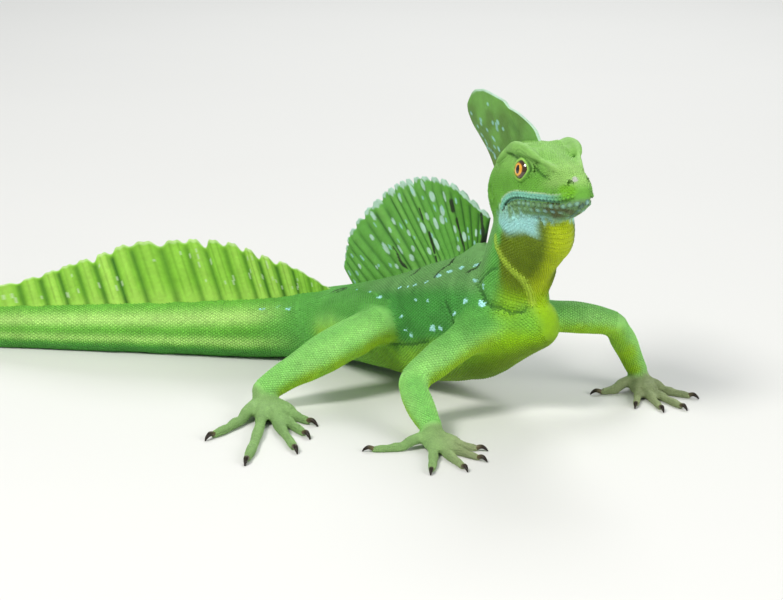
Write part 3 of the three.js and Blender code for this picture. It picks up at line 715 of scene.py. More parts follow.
def form_skin():
    """Smooths the joins, then sinks the folds and shapes the face."""
    mesh = skin.data
    points, edges = get_points(mesh), get_edges(mesh)
    amount = np.zeros(len(points))
    for x, y, z, reach, strength in JOINS:
        far = np.linalg.norm(points - [x, y, z], axis=1)
        amount = np.maximum(amount, strength * ease(reach, 0.5 * reach, far))
    points = relax(points, edges, JOIN_ROUNDS, amount)
    back, left, up = from_head(points)
    on_head = ease(66, 58, back) * (points[:, 2] > HEAD_LOW)
    points = relax(points, edges, SKIN_ROUNDS, 0.25 + 0.3 * on_head)
    crown = on_head * (up > 8) * ease(10.5, 8.5, np.abs(left)) * ease(46, 40, back)
    points = relax(points, edges, CROWN_ROUNDS, 0.6 * crown)
    set_points(mesh, points)

    normals, surface = get_normals(mesh), Surface(skin)
    points = points - normals * SKIN_SINK
    points += normals * ((noise_at(points, SWELL_SIZE) - 0.5) * SWELL)[:, None]
    for width, depth, stations in FOLDS.values():
        for line in both_flanks(surface, stations):
            points = push_along(points, normals, line, width, depth)
    for side in (1, -1):
        for stations, lift, width, depth in FACE_LINES:
            line = surface.onto(head_line(stations, side, lift))
            points = push_along(points, normals, line, width, depth)
        for station, reach, depth in ((NOSTRIL, NOSTRIL_RADIUS, 0.9), (EAR, EAR_RADIUS, 0.75)):
            far = np.linalg.norm(points - head_spot(surface, station, side), axis=1)
            points = sunk(points, normals, depth * ease(reach, reach * 0.55, far))
            points = sunk(points, normals, -0.28 * bump(far - reach * 1.15, 0.8))
    points = form_eyelids(points)
    for side in (1, -1):
        far, share = brow_fold(points, side)
        points = sunk(points, normals, 0.75 * bump(far, 1.7) * faded(share, 0.8))
    points[:, 2] = np.maximum(points[:, 2], SKIN_FLOOR)
    set_points(mesh, points)
    return points


skin_points = form_skin()
skin_surface = Surface(skin)


# Which part each point of the skin belongs to

SAMPLES = [part.samples() for part in BODY]
SAMPLE_PART = np.repeat(np.arange(len(BODY)), [len(s[0]) for s in SAMPLES])
SAMPLE_T = np.concatenate([s[1] for s in SAMPLES])
SAMPLE_ANGLE = np.concatenate([s[2] for s in SAMPLES])
sample_tree = KDTree(len(SAMPLE_PART))
for index, place in enumerate(np.vstack([s[0] for s in SAMPLES]).tolist()):
    sample_tree.insert(place, index)
sample_tree.balance()


def nearest_samples(points):
    return np.array([sample_tree.find(p)[1] for p in points.tolist()])


def body_angle(part, points, t):
    """How far along and round a part points lie, t being a first guess."""
    length = part.path.length()
    for _ in range(2):
        centre, ahead, _, _ = part.frames(t)
        t = np.clip(t + np.sum((points - centre) * ahead, axis=1) / length, 0, 1)
    centre, _, across, above = part.frames(t)
    d = points - centre
    return t, np.arctan2(np.sum(d * above, axis=1), np.sum(d * across, axis=1))


# Colours

def srgb(*value):
    """A linear colour from the three 8-bit numbers that a screen shows it by."""
    c = np.array(value) / 255
    return np.where(c <= 0.04045, c / 12.92, ((c + 0.055) / 1.055) ** 2.4)


def mix(a, b, weight):
    weight = np.reshape(weight, (-1, 1))
    return a * (1 - weight) + b * weight


BACK_GREEN = srgb(112, 166, 96)
FLANK_GREEN = srgb(72, 152, 64)
SIDE_GREEN = srgb(98, 176, 76)
BELLY_GREEN = srgb(134, 196, 84)
LIME = srgb(142, 192, 0)
OLIVE = srgb(100, 122, 0)
YELLOW = srgb(168, 188, 2)
CROWN_GREEN = srgb(134, 188, 92)
CHEEK_GREEN = srgb(104, 168, 58)
SNOUT_GREEN = srgb(144, 192, 98)
JAW_GREEN = srgb(112, 152, 100)
TURQUOISE = srgb(128, 196, 176)
PALE_BLUE = srgb(158, 214, 210)
# brown of the real stains on the jaw; darkened, it is also painted shade in the mouth's seam
STAIN_AND_SHADE_BROWN = srgb(84, 74, 40)
LIMB_TOP = srgb(154, 218, 118)
LIMB_LOW = srgb(152, 198, 30)
HAND_GREY = srgb(150, 164, 118)
TOE_GREEN = srgb(134, 172, 104)
TAIL_PALE = srgb(186, 232, 128)
TAIL_MID = srgb(108, 186, 60)
LEAF = srgb(88, 164, 58)
LEAF_LIGHT = srgb(128, 194, 88)
# dark green, used as painted shade in creases and furrows and for dark stripes and lines
SHADE_AND_STRIPE_GREEN = srgb(30, 82, 26)
NIGHT = srgb(22, 30, 18)
CREAM = srgb(206, 226, 190)
CREST_LIME = srgb(122, 196, 36)
CREST_PALE = srgb(188, 234, 104)
CASQUE_GREEN = srgb(98, 142, 62)
SAIL_GREEN = srgb(74, 142, 28)
FIN_GROOVE = srgb(46, 108, 20)
FIN_FINE = srgb(96, 158, 36)
SCUFF = srgb(196, 190, 196)
MOUTH_GREEN = srgb(112, 180, 20)
CLAW_ROOT = srgb(96, 88, 60)
CLAW_TIP = srgb(34, 26, 18)
IRIS = srgb(226, 158, 44)
IRIS_DARK = srgb(96, 62, 22)
PUPIL = srgb(8, 7, 6)
DARKEST = 0.004  # of any painted colour


# The tint of each kind of part, from points, shares of its path, angles round it and normals

def trunk_tint(points, t, angle, normals):
    up = np.sin(angle)
    c = mix(LIME * 0.6 + BELLY_GREEN * 0.4, FLANK_GREEN, ease(-0.42, -0.1, up))
    c = mix(c, BACK_GREEN, ease(0.6, 0.82, up))
    streaks = noise_at(np.stack([t * 55 + up * 5, up * 0, up * 1.5], axis=1), 1.0)
    streaks = ease(0.5, 0.8, streaks)
    c = mix(c, FLANK_GREEN * 0.6, 0.45 * streaks * ease(0.9, 0.5, np.abs(up - 0.2)))
    c = mix(SIDE_GREEN, c, ease(0.12, 0.42, t))
    c = mix(c, SIDE_GREEN * 0.6 + LIME * 0.4, ease(0.8, 0.93, t) * ease(0.9, 0.7, up))
    c = mix(c, LIME, ease(0.7, 0.85, t) * ease(0.2, -0.3, up))
    # painted shade: the underside of the fore trunk, facing the floor, is darkened to a deep olive
    return mix(c, OLIVE * 0.8, 0.6 * ease(-0.55, -0.9, up) * ease(0.3, 0.6, t))


def tail_tint(points, t, angle, normals):
    up = np.sin(angle)
    c = mix(TAIL_MID, TAIL_PALE, bump(up - 0.62, 0.42))
    c = mix(c, TAIL_PALE, 0.9 * bump(up + 0.34, 0.3))
    c = mix(c, SHADE_AND_STRIPE_GREEN, 0.55 * bump(up + 0.02, 0.09) * ease(0.5, 0.3, t))
    c = mix(c, FLANK_GREEN, 0.8 * ease(-0.5, -0.75, up))
    c = mix(SIDE_GREEN, c, ease(0.0, 0.16, t + 0.03 * noise_at(points, 6.0)))
    bands = 0.5 + 0.5 * np.sin(t * 150.0)
    return mix(c, OLIVE, 0.55 * ease(0.35, 0.6, t) * bands)


def neck_tint(points, t, angle, normals):
    nape = np.sin(angle)
    c = mix(SIDE_GREEN, BACK_GREEN, ease(0.2, 0.8, nape))
    throat = ease(0.1, -0.1, nape + 1.3 * (0.55 - t))
    front = ease(-0.94, -0.995, nape)
    c = mix(c, mix(OLIVE, YELLOW, front), throat)
    c = mix(c, LIME, ease(0.35, 0.1, t) * ease(-0.1, -0.6, nape))
    blue = ease(0.70, 0.74, t - 0.12 * ease(0.0, -0.9, nape))
    blue = blue * ease(0.8, 0.6, nape) * ease(-0.95, -0.86, nape)
    return mix(c, PALE_BLUE, blue)


def head_tint(points, t, angle, normals):
    back, _, up = from_head(points)
    facing_down = -(normals @ UP)
    c = mix(CHEEK_GREEN, CROWN_GREEN, ease(5, 13, up))
    c = mix(c, SNOUT_GREEN, ease(17, 8, back) * ease(1, 5, up))
    below = mouth_height(back) - up
    jaw = ease(-0.2, 0.3, below) * ease(50, 40, back)
    c = mix(c, JAW_GREEN, jaw)
    stain = ease(0.45, 0.7, noise_at(points, 2.6)) * ease(30, 18, back)
    c = mix(c, STAIN_AND_SHADE_BROWN, 0.75 * stain * ease(0.5, 2.0, below) * ease(8.5, 6, below))
    blue = ease(4.5, 7.0, below) * ease(14, 20, back) * ease(60, 54, back)
    c = mix(c, PALE_BLUE, blue)
    chin = ease(0.5, 0.9, facing_down) * ease(26, 18, back) * ease(7, 9, below)
    return mix(c, mix(LIME, YELLOW, noise_at(points, 5.0)), chin)


def limb_tint(points, t, angle, normals):
    c = mix(LIMB_LOW, LIMB_TOP, ease(-0.4, 0.15, normals[:, 2]))
    c = mix(c, SIDE_GREEN, 0.5 * ease(0.45, 0.95, normals[:, 2]))
    return mix(c, SIDE_GREEN, 0.3 * ease(0.4, 0.7, noise_at(points, 5.0)))


def upper_tint(points, t, angle, normals):
    c = limb_tint(points, t, angle, normals)
    near_body = np.where(points[:, 1] > 50, 1.0, ease(0.75, 0.25, t))
    return mix(c, SIDE_GREEN * 0.85, near_body * ease(-0.05, 0.4, normals[:, 2]))


def end_tint(points, t, angle, normals):
    hand = ease(10, 30, points[:, 0]) * (points[:, 1] < 90)
    return mix(TOE_GREEN, HAND_GREY, hand)


TINTS = {"trunk": trunk_tint, "tail": tail_tint, "neck": neck_tint, "head": head_tint,
         "upper": upper_tint, "lower": limb_tint, "palm": end_tint, "digit": end_tint}

# Pale spots: share of the part's path, degrees round it, half length, half width
SPOTS = {
    "trunk": [
        [0.41, 141, 1.5, 0.8], [0.47, 129, 0.8, 0.5], [0.50, 129, 0.9, 0.6], [0.53, 129, 0.9, 0.6],
        [0.58, 129, 1.0, 0.6], [0.61, 122, 1.8, 0.9], [0.64, 116, 1.7, 0.8], [0.67, 110, 1.4, 0.7],
        [0.72, 105, 1.4, 0.7], [0.757, 129, 1.2, 0.8], [0.811, 154, 1.6, 1.3], [0.743, 154, 1.1, 0.9],
        [0.703, 167, 1.0, 0.7], [0.622, 180, 1.5, 1.3], [0.527, 180, 0.8, 0.6], [0.541, 184, 0.9, 0.7],
        [0.649, 180, 1.0, 0.8], [0.608, 154, 0.8, 0.5], [0.514, 167, 0.8, 0.6], [0.56, 150, 0.5, 0.4],
        [0.36, 132, 0.9, 0.5], [0.30, 128, 0.8, 0.5]],
    "neck": [[0.185, 167, 1.2, 0.8], [0.42, 120, 0.9, 0.6]],
    "tail": [[0.02, 135, 0.8, 0.6], [0.05, 128, 0.9, 0.5], [0.09, 130, 0.8, 0.5]],
}
# Dark lines that run down from the dorsal crest, as stations on the trunk
BARS = [
    [[0.76, 92], [0.74, 100], [0.73, 110], [0.71, 118]],
    [[0.62, 92], [0.61, 102], [0.60, 112], [0.60, 122]],
    [[0.47, 92], [0.47, 100], [0.47, 108]],
]


def spot_mask(points, centre, axis, long, wide):
    """1 inside an oval spot with ragged edges, 0 outside it."""
    d = points - centre
    along = d @ axis
    across = np.linalg.norm(d - along[:, None] * axis, axis=1)
    return ease(1.15, 0.85, np.hypot(along / long, across / wide))


def paint_skin(points, normals, edges):
    """The colour of every point of the skin."""
    nearest = nearest_samples(points)
    owner = SAMPLE_PART[nearest]
    colours = np.zeros((len(points), 3))
    for i, part in enumerate(BODY):
        mine = owner == i
        kind = part.name.split("_")[0]
        t, angle = SAMPLE_T[nearest[mine]], SAMPLE_ANGLE[nearest[mine]]
        if part is not HEAD:
            t, angle = body_angle(part, points[mine], t)
        colours[mine] = TINTS[kind](points[mine], t, angle, normals[mine])
    blend = np.full(len(points), 0.15)
    for x, y, z, reach, strength in JOINS:
        far = np.linalg.norm(points - [x, y, z], axis=1)
        blend = np.maximum(blend, strength * ease(reach * 0.9, 0.5 * reach, far))
    colours = relax(colours, edges, 40, blend)

    def lay(colour, weight):
        nonlocal colours
        colours = mix(colours, colour, np.clip(weight, 0, 1))

    for name, spots in SPOTS.items():
        for (t, degrees, long, wide), mirrored in itertools.product(spots, (False, True)):
            centre = skin_surface.onto(on_body([[name, t, degrees]], mirrored))[0]
            axis = part_named(name).path.tangent(t)[0]
            lay(PALE_BLUE * 1.2, spot_mask(points, centre, axis, long, wide))
    for bar in BARS:
        for line in both_flanks(skin_surface, [["trunk", t, degrees] for t, degrees in bar], 80):
            far = near_line(points, line, 2.5)[0]
            ragged = 0.35 + 0.75 * noise_at(points, 1.6)
            lay(NIGHT, 0.85 * ease(ragged, ragged * 0.6, far))
    blotch = ease(5.5, 3.0, np.linalg.norm((points - [-20, 88, 32]) * [1, 1, 0.6], axis=1))
    lay(NIGHT, 0.7 * blotch * ease(0.4, 0.62, noise_at(points, 2.2)))
    # painted shade: the furrows sunk for the folds are darkened along their lines
    for _, depth, stations in FOLDS.values():
        if depth > 0:
            for line in both_flanks(skin_surface, stations):
                far, share = near_line(points, line, 2.0)
                furrow = 0.7 * ease(0.75, 0.25, far)
                lay(SHADE_AND_STRIPE_GREEN, furrow * ease(0, 0.15, share) * ease(1, 0.8, share))
    throat = next(both_flanks(skin_surface, FOLDS["throat"][2]))
    ridge = ease(2.0, 0.6, near_line(points, throat, 2.0)[0])
    lay(YELLOW * 0.6 + CREST_PALE * 0.4, 0.7 * ridge)
    back, _, up = from_head(points)
    on_head = (back < 58) & (points[:, 2] > HEAD_LOW)
    for side in (1, -1):
        mouth = skin_surface.onto(head_line(MOUTH, side))
        near_mouth = np.where(on_head, near_line(points, mouth, 4.0)[0], 4.0)
        over = (up > mouth_height(back)) & (near_mouth < 3.9)
        lay(TURQUOISE, 0.9 * over * ease(2.7, 1.9, near_mouth) * ease(3, 12, back))
        lay(CREAM, 0.5 * over * bump(near_mouth - 2.4, 0.5) * ease(1, 6, back))
        # painted shade along the sunk line of the mouth
        lay(STAIN_AND_SHADE_BROWN * 0.5, 0.9 * ease(0.62, 0.3, near_mouth) * ease(2, 6, back))
        r, height, outer = around_eye(points, side)
        facing = on_head & outer
        lay(CREST_PALE, 0.45 * facing * bump(r - 3.6, 0.6))
        # painted shade: the furrows round the eye are darkened, more below its middle, and so is the lid's
        # inner edge where it meets the ball
        rings = bump(r - 4.3, 0.32) + bump(r - 5.45, 0.32) + 0.8 * bump(r - 6.6, 0.32)
        lay(SHADE_AND_STRIPE_GREEN, 0.6 * facing * rings * ease(3.0, 0.5, height))
        lay(SHADE_AND_STRIPE_GREEN, 0.85 * facing * ease(3.2, 2.9, r))
        # painted shade along the fold sunk under the brow
        fold, share = brow_fold(points, side)
        lay(SHADE_AND_STRIPE_GREEN, 0.65 * ease(0.9, 0.2, fold) * ease(1.0, 0.85, share))
        # painted shade in the shallow nostril hollow
        nostril = np.linalg.norm(points - head_spot(skin_surface, NOSTRIL, side), axis=1)
        lay(NIGHT, 0.7 * ease(0.9, 0.5, nostril))
    scuff = np.linalg.norm(points - in_head(2.2, -1.6, 5.8), axis=1)
    lay(SCUFF, 0.8 * ease(2.6, 1.2, scuff + 1.4 * noise_at(points, 0.9)))
    green = np.linalg.norm((points - in_head(3.0, -4.5, 1.8)) @ np.diag([1, 1, 1.6]), axis=1)
    lay(MOUTH_GREEN, 0.75 * ease(4.6, 2.4, green))

    shade = 1 + 0.22 * (noise_at(points, 5.5) - 0.5) + 0.16 * (noise_at(points, 1.3) - 0.5)
    return np.clip(colours * shade[:, None], DARKEST, 1)


def paint(mesh, colours):
    layer = mesh.color_attributes.new("tint", "FLOAT_COLOR", "POINT")
    rgba = np.ones((len(colours), 4))
    rgba[:, :3] = colours
    layer.data.foreach_set("color", rgba.ravel())


skin_colours = paint_skin(skin_points, get_normals(skin.data), get_edges(skin.data))
paint(skin.data, skin_colours)


# Materials

def set_inputs(node, **values):
    """Values for a shader node's inputs; an underscore stands for a space."""
    for name, value in values.items():
        node.inputs[name.replace("_", " ")].default_value = value


def new_material(name):
    """A material, with its nodes and its shader."""
    material = bpy.data.materials.new(name)
    material.use_nodes = True
    return material, material.node_tree.nodes, material.node_tree.nodes["Principled BSDF"]


def connect(material, wires):
    for source, output, target, socket in wires:
        material.node_tree.links.new(source.outputs[output], target.inputs[socket])


def tinted_material(name, roughness, grain, cell, relief, coat=0.0, light=0.0):
    """Painted skin: the tint, broken up by grain, with cell-shaped relief."""
    material, nodes, shader = new_material(name)
    tint = nodes.new("ShaderNodeAttribute")
    tint.attribute_name = "tint"
    fine = nodes.new("ShaderNodeTexNoise")
    set_inputs(fine, Scale=1 / (grain * MM), Detail=3.0)
    ramp = nodes.new("ShaderNodeMapRange")
    set_inputs(ramp, From_Min=0.25, From_Max=0.75, To_Min=0.82, To_Max=1.18)
    product = nodes.new("ShaderNodeVectorMath")
    product.operation = "SCALE"
    gloss = nodes.new("ShaderNodeMapRange")
    set_inputs(gloss, To_Min=roughness - 0.1, To_Max=roughness + 0.1)
    cells = nodes.new("ShaderNodeTexVoronoi")
    set_inputs(cells, Scale=1 / (cell * MM))
    bumps = nodes.new("ShaderNodeBump")
    bumps.invert = True
    set_inputs(bumps, Strength=relief, Distance=0.25 * MM)
    connect(material, (
        (fine, "Fac", ramp, "Value"),
        (tint, "Color", product, 0),
        (ramp, "Result", product, "Scale"),
        (product, "Vector", shader, "Base Color"),
        (fine, "Fac", gloss, "Value"),
        (gloss, "Result", shader, "Roughness"),
        (cells, "Distance", bumps, "Height"),
        (bumps, "Normal", shader, "Normal"),
    ))
    set_inputs(shader, Specular_IOR_Level=0.5 if coat else 0.28, Coat_Weight=coat,
               Subsurface_Weight=light, Subsurface_Radius=(0.0012, 0.0018, 0.0006),
               Subsurface_Scale=1.0)
    return material


SKIN = tinted_material("skin", 0.5, 1.6, 0.8, 0.6)
SCALE = tinted_material("scales", 0.42, 0.7, 0.35, 0.25)
MEMBRANE = tinted_material("membrane", 0.5, 0.9, 0.55, 0.55, light=0.12)
EYEBALL = tinted_material("eyeball", 0.12, 0.5, 0.3, 0.0, coat=1.0)
CLAW = tinted_material("claw", 0.35, 0.6, 0.5, 0.15)
skin.data.materials.clear()
skin.data.materials.append(SKIN)


# Scales

ROW_STEP = 0.82  # distance between rows, as a share of the distance between scales
HEX = np.radians(np.arange(6) * 60.0)
LID_EDGE = 4.4  # the ring inside which an eye's lids have no scales
MAP_SPAN = 0.98  # share of the map's width that a part's length takes
LIP_BAND = 0.92  # height on the map over which the lips' plates lie
# Rows of plates: height over the mouth, half length, half width
LIP_ROWS = [[1.25, 0.95, 0.85], [-1.4, 1.5, 1.05], [-3.6, 1.8, 1.25], [-6.1, 1.7, 1.25]]


def run_along(line):
    """Distance along a line to each of its points."""
    return np.concatenate([[0], np.cumsum(np.linalg.norm(np.diff(line, axis=0), axis=1))])


def in_rows(vector, count):
    return vector * np.ones((count, 1))


def girth(part, t):
    if part is HEAD:
        _, width, top, bottom = part.section(t)
        sizes = np.stack([width * 0.88, top, -bottom], axis=1)
    else:
        sizes = part.sizes.at(t)
    tall = (sizes[:, 1] + sizes[:, 2]) / 2
    return 2 * np.pi * np.sqrt((sizes[:, 0] ** 2 + tall ** 2) / 2)


def scale_seeds(part):
    """Staggered rows of scales: share of the path, angle, width, step and points."""
    fine = np.linspace(0, 1, 500)
    line = in_head(HEAD.section(fine)[0], 0, 0) if part is HEAD else part.path.at(fine)
    run = run_along(line)
    step = part.pitch * ROW_STEP
    shares = np.interp(np.arange(step / 2, run[-1], step), run, fine)
    rows = [(t, 1.0, 0.0) for t in shares]
    if part is TRUNK:
        reach = TRUNK.sizes.at(1.0)[0].min()
        leans = np.arange(step / reach, 1.45, step / reach)
        rows += [(1.0, math.cos(lean), reach * math.sin(lean)) for lean in leans]
    made = []
    for i, (t, shrink, slide) in enumerate(rows):
        around = girth(part, np.array([t]))[0] * shrink
        count = max(6, int(round(around / part.pitch / 6)) * 6)
        angle = (np.arange(count) + 0.5 * (i % 2)) * 2 * np.pi / count
        if part is HEAD:
            places = part.points(t, angle)
        else:
            places = part.points(t, angle, shrink, slide)
        made.append((np.full(count, t), angle, np.full(count, around / count), places))
    return [np.concatenate([m[k] for m in made]) for k in range(4)]


def plates(roots, normals, along, half_length, half_width, height, colours, band):
    """Closed six-sided plates, low in front and raised behind, as one mesh, with painted shade on their
    low corners and a painted highlight on their tips.
    """
    n = len(roots)
    along = unit(along - normals * np.sum(along * normals, axis=1, keepdims=True))
    across = np.cross(normals, along)
    a, w, h = (in_rows(np.reshape(v, (-1, 1)), n) for v in (half_length, half_width, height))
    verts = np.zeros((n, 7, 3))
    for k, angle in enumerate(HEX):
        rise = h * (0.35 * math.cos(angle)) - 0.12
        corner = roots + along * a * math.cos(angle) + across * w * 1.1 * math.sin(angle)
        verts[:, k] = corner + normals * rise
    verts[:, 6] = roots + along * a * 0.2 + normals * h
    verts[:, :, 2] = np.maximum(verts[:, :, 2], 0.0)
    tris = [(k, (k + 1) % 6, 6) for k in range(6)] + [(0, k + 1, k) for k in range(1, 5)]
    faces = (np.arange(n)[:, None, None] * 7 + np.array(tris)[None]).reshape(-1, 3)
    # painted shade and highlight: the corners are darker the lower they lie and the raised tip is lighter,
    # so the gaps between scales look shaded and the tips lit
    shade = np.array([0.92, 0.68, 0.52, 0.48, 0.52, 0.68, 1.25])
    tints = colours[:, None, :] * shade[None, :, None]
    ring = np.vstack([np.stack([np.cos(HEX), np.sin(HEX)], axis=1), [[0, 0]]]) * 0.0015
    uv = band[:, None, :] + ring[None]
    return verts.reshape(-1, 3), faces, tints.reshape(-1, 3), uv.reshape(-1, 2)


def plate_object(name, batches, material):
    """One object from batches of plates, with its tint and its OFBake map."""
    base, verts, faces, tints, uvs = 0, [], [], [], []
    for v, f, c, uv in batches:
        verts.append(v)
        faces.append(f + base)
        tints.append(c)
        uvs.append(uv)
        base += len(v)
    verts, faces = np.vstack(verts), np.vstack(faces)
    mesh = bpy.data.meshes.new(name)
    mesh.vertices.add(len(verts))
    mesh.loops.add(faces.size)
    mesh.polygons.add(len(faces))
    mesh.vertices.foreach_set("co", ((verts + ORIGIN) * MM).ravel())
    mesh.loops.foreach_set("vertex_index", faces.ravel())
    mesh.polygons.foreach_set("loop_start", np.arange(0, faces.size, 3))
    mesh.update(calc_edges=True)
    mesh.shade_smooth()
    layer = mesh.uv_layers.new(name="OFBake")
    layer.data.foreach_set("uv", np.vstack(uvs)[faces.ravel()].ravel())
    paint(mesh, np.vstack(tints))
    mesh.materials.append(material)
    print(name, "triangles", len(faces))
    return linked(name, mesh)


def skin_colour_near(faces):
    corners = [skin.data.polygons[i].vertices[0] for i in faces.tolist()]
    return skin_colours[corners]


def part_scales(part, low, high):
    """The scales of one part, their map patches between two heights of the map."""
    t, angle, wide, seeds = scale_seeds(part)
    roots, normals, faces = skin_surface.nearest(seeds)
    owners = SAMPLE_PART[nearest_samples(roots)]
    keep = owners == BODY.index(part)
    if part is HEAD:
        back, _, up = from_head(roots)
        for side in (1, -1):
            ring, _, outer = around_eye(roots, side)
            keep &= ~((ring < LID_EDGE) & outer)
        keep &= ~((np.abs(up - mouth_height(back)) < 1.9) & (back < 36))
    t, angle, wide, roots, normals, faces = (v[keep] for v in (t, angle, wide, roots, normals, faces))
    lie = in_rows(-AHEAD, len(t)) if part is HEAD else part.path.tangent(t) * part.tip
    size = rng.uniform(0.9, 1.1, len(t))
    colours = skin_colour_near(faces) * rng.uniform(0.9, 1.1, (len(t), 1))
    height = 0.02 + 0.96 * angle / (2 * np.pi) % 1.0
    band = np.stack([0.01 + MAP_SPAN * t, low + (high - low) * height], axis=1)
    length = part.pitch * ROW_STEP / 1.5 * 1.25
    return plates(roots, normals, lie, length * size, wide / 1.9 * size, 0.27 * part.pitch,
                  colours, band)


def lip_plates():
    """Larger plates in rows along the lips and the lower jaw."""
    batches = []
    for row, (lift, half, tall) in enumerate(LIP_ROWS):
        for side in (1, -1):
            line = head_line(MOUTH, side, lift)
            run = run_along(line)
            stops = np.arange(1.0 + half * (row % 2), run[-1] - (5 if row > 1 else 1), half * 1.85)
            count = len(stops)
            seeds = np.stack([np.interp(stops, run, line[:, k]) for k in range(3)], axis=1)
            roots, normals, faces = skin_surface.nearest(seeds)
            colours = skin_colour_near(faces)
            if row:
                pale = rng.uniform(0, 1, count) * ease(34, 22, from_head(roots)[0])
                colours = mix(colours, PALE_BLUE * 0.8, 0.7 * pale)
            height = LIP_BAND + 0.01 * (1 + 2 * row + (side > 0))
            band = np.stack([0.01 + MAP_SPAN * stops / run[-1], np.full(count, height)], axis=1)
            batches.append(plates(roots, normals, in_rows(-AHEAD, count), half, tall, 0.36,
                                  colours, band))
    return batches


coats = []
GROUPS = {"scales_trunk": [TRUNK], "scales_tail": [TAIL], "scales_head": [HEAD, NECK]}
for limb in LIMBS:
    GROUPS["scales_" + limb] = [part for part in BODY
                                if part.name.endswith(limb) or f"_{limb}_" in part.name]
for name, parts in GROUPS.items():
    top = LIP_BAND if name == "scales_head" else 1.0
    heights = np.linspace(0, top, len(parts) + 1)
    batches = [part_scales(part, heights[i], heights[i + 1]) for i, part in enumerate(parts)]
    if name == "scales_head":
        batches += lip_plates()
    coats.append(plate_object(name, batches, SCALE))


# Crests

def grid_faces(columns, rows):
    """Quads over a grid of points, and the closed rim of the grid."""
    c, r = np.meshgrid(np.arange(columns), np.arange(rows), indexing="ij")
    a = (c * (rows + 1) + r).ravel()
    quads = np.stack([a, a + rows + 1, a + rows + 2, a + 1], axis=1)
    stride = rows + 1
    rim = [i * stride for i in range(columns + 1)]
    rim += [columns * stride + i for i in range(1, rows + 1)]
    rim += [i * stride + rows for i in range(columns - 1, -1, -1)]
    rim += list(range(rows - 1, 0, -1))
    return quads, rim


class Crest:
    """A thin sheet between a root curve and an edge curve, ribbed by its rays: how
    thick it is at root and edge, how far rays stand out, how deep the edge dips
    between them, how much the foot flares, and how far the sheet waves aside."""

    def __init__(self, root, edge, across, rays, thick, ridge, dip, flare, rows=90, per_ray=12, wave=0.4):
        t = np.linspace(0, 1, rays * per_ray + 1)
        up = np.linspace(0, 1, rows + 1)
        on_ray = 0.5 - 0.5 * np.cos(2 * np.pi * t * rays)
        low, high = root(t), edge(t)
        notch = dip * (0.5 + lattice(np.stack([np.round(t * rays), t * 0, t * 0 + rays], axis=1)))
        twin = 0.3 * dip * (0.5 + 0.5 * np.cos(4 * np.pi * t * rays)) * on_ray
        tip = high + (low - high) * (notch * (1 - on_ray) ** 1.5 + twin)[:, None]
        self.centre = low[:, None] + (tip - low)[:, None] * up[None, :, None]
        side = across(t)[:, None, :]
        bend = np.sin(7 * t)[:, None] * up ** 2 + 0.4 * np.sin(15 * t + 1)[:, None] * up
        self.centre = self.centre + side * (wave * bend)[..., None]
        half = 0.5 * (thick[0] + (thick[1] - thick[0]) * up)[None] + (
            ridge * on_ray ** 0.6)[:, None] * (1 - 0.4 * up)[None]
        half = half + flare * np.clip(1 - up / 0.14, 0, 1) ** 2
        half = half * np.sqrt(1 - 0.93 * np.clip((up - 0.97) / 0.03, 0, 1) ** 2)
        self.faces_out = [self.centre + side * half[..., None], self.centre - side * half[..., None]]
        self.t = np.repeat(t, rows + 1)
        self.up = np.tile(up, len(t))
        self.on_ray = np.repeat(on_ray, rows + 1)
        self.phase = self.t * rays
        self.columns, self.rows = len(t) - 1, rows
        self.flat = self.centre.reshape(-1, 3)
        self.colours = np.zeros_like(self.flat)

    def place(self, t, up):
        column = int(round(t * self.columns))
        row = int(round(up * self.rows))
        axis = unit(self.centre[column, -1] - self.centre[column, 0])
        return self.centre[column, row], axis

    def vary(self, seed):
        """A repeatable value from 0 to 1 for each ray."""
        ray = np.floor(self.phase)
        return lattice(np.stack([ray, ray * 0 + seed, ray * 0], axis=1))

    def lay(self, colour, weight):
        self.colours = mix(self.colours, colour, weight)

    def spots(self, stations, colour, strength=0.95):
        """Oval spots along the rays: share of the root, height, half length, half width."""
        for t, up, long, wide in stations:
            centre, axis = self.place(t, up)
            self.lay(colour, strength * spot_mask(self.flat, centre, axis, long, wide))

    def bar(self, stations, width):
        """A dark bar with ragged edges through stations of share and height."""
        line = Curve([self.place(t, up)[0] for t, up in stations]).even(90)
        far, _ = near_line(self.flat, line, 3.0)
        ragged = width * (0.35 + 1.1 * noise_at(self.flat, 2.4))
        self.lay(NIGHT, 0.93 * ease(ragged, ragged * 0.65, far))

    def build(self, name):
        quads, rim = grid_faces(self.columns, self.rows)
        count = len(self.flat)
        verts = np.vstack([side.reshape(-1, 3) for side in self.faces_out])
        faces = [tuple(q) for q in quads.tolist()]
        faces += [tuple(i + count for i in reversed(q)) for q in quads.tolist()]
        for i, a in enumerate(rim):
            b = rim[(i + 1) % len(rim)]
            faces.append((b, a, a + count, b + count))
        obj = make_object(name, verts, faces, MEMBRANE)
        grain = 1 + 0.18 * (noise_at(verts, 3.0) - 0.5) + 0.16 * (noise_at(verts, 0.8) - 0.5)
        paint(obj.data, np.clip(np.vstack([self.colours] * 2) * grain[:, None], DARKEST, 1))
        return obj


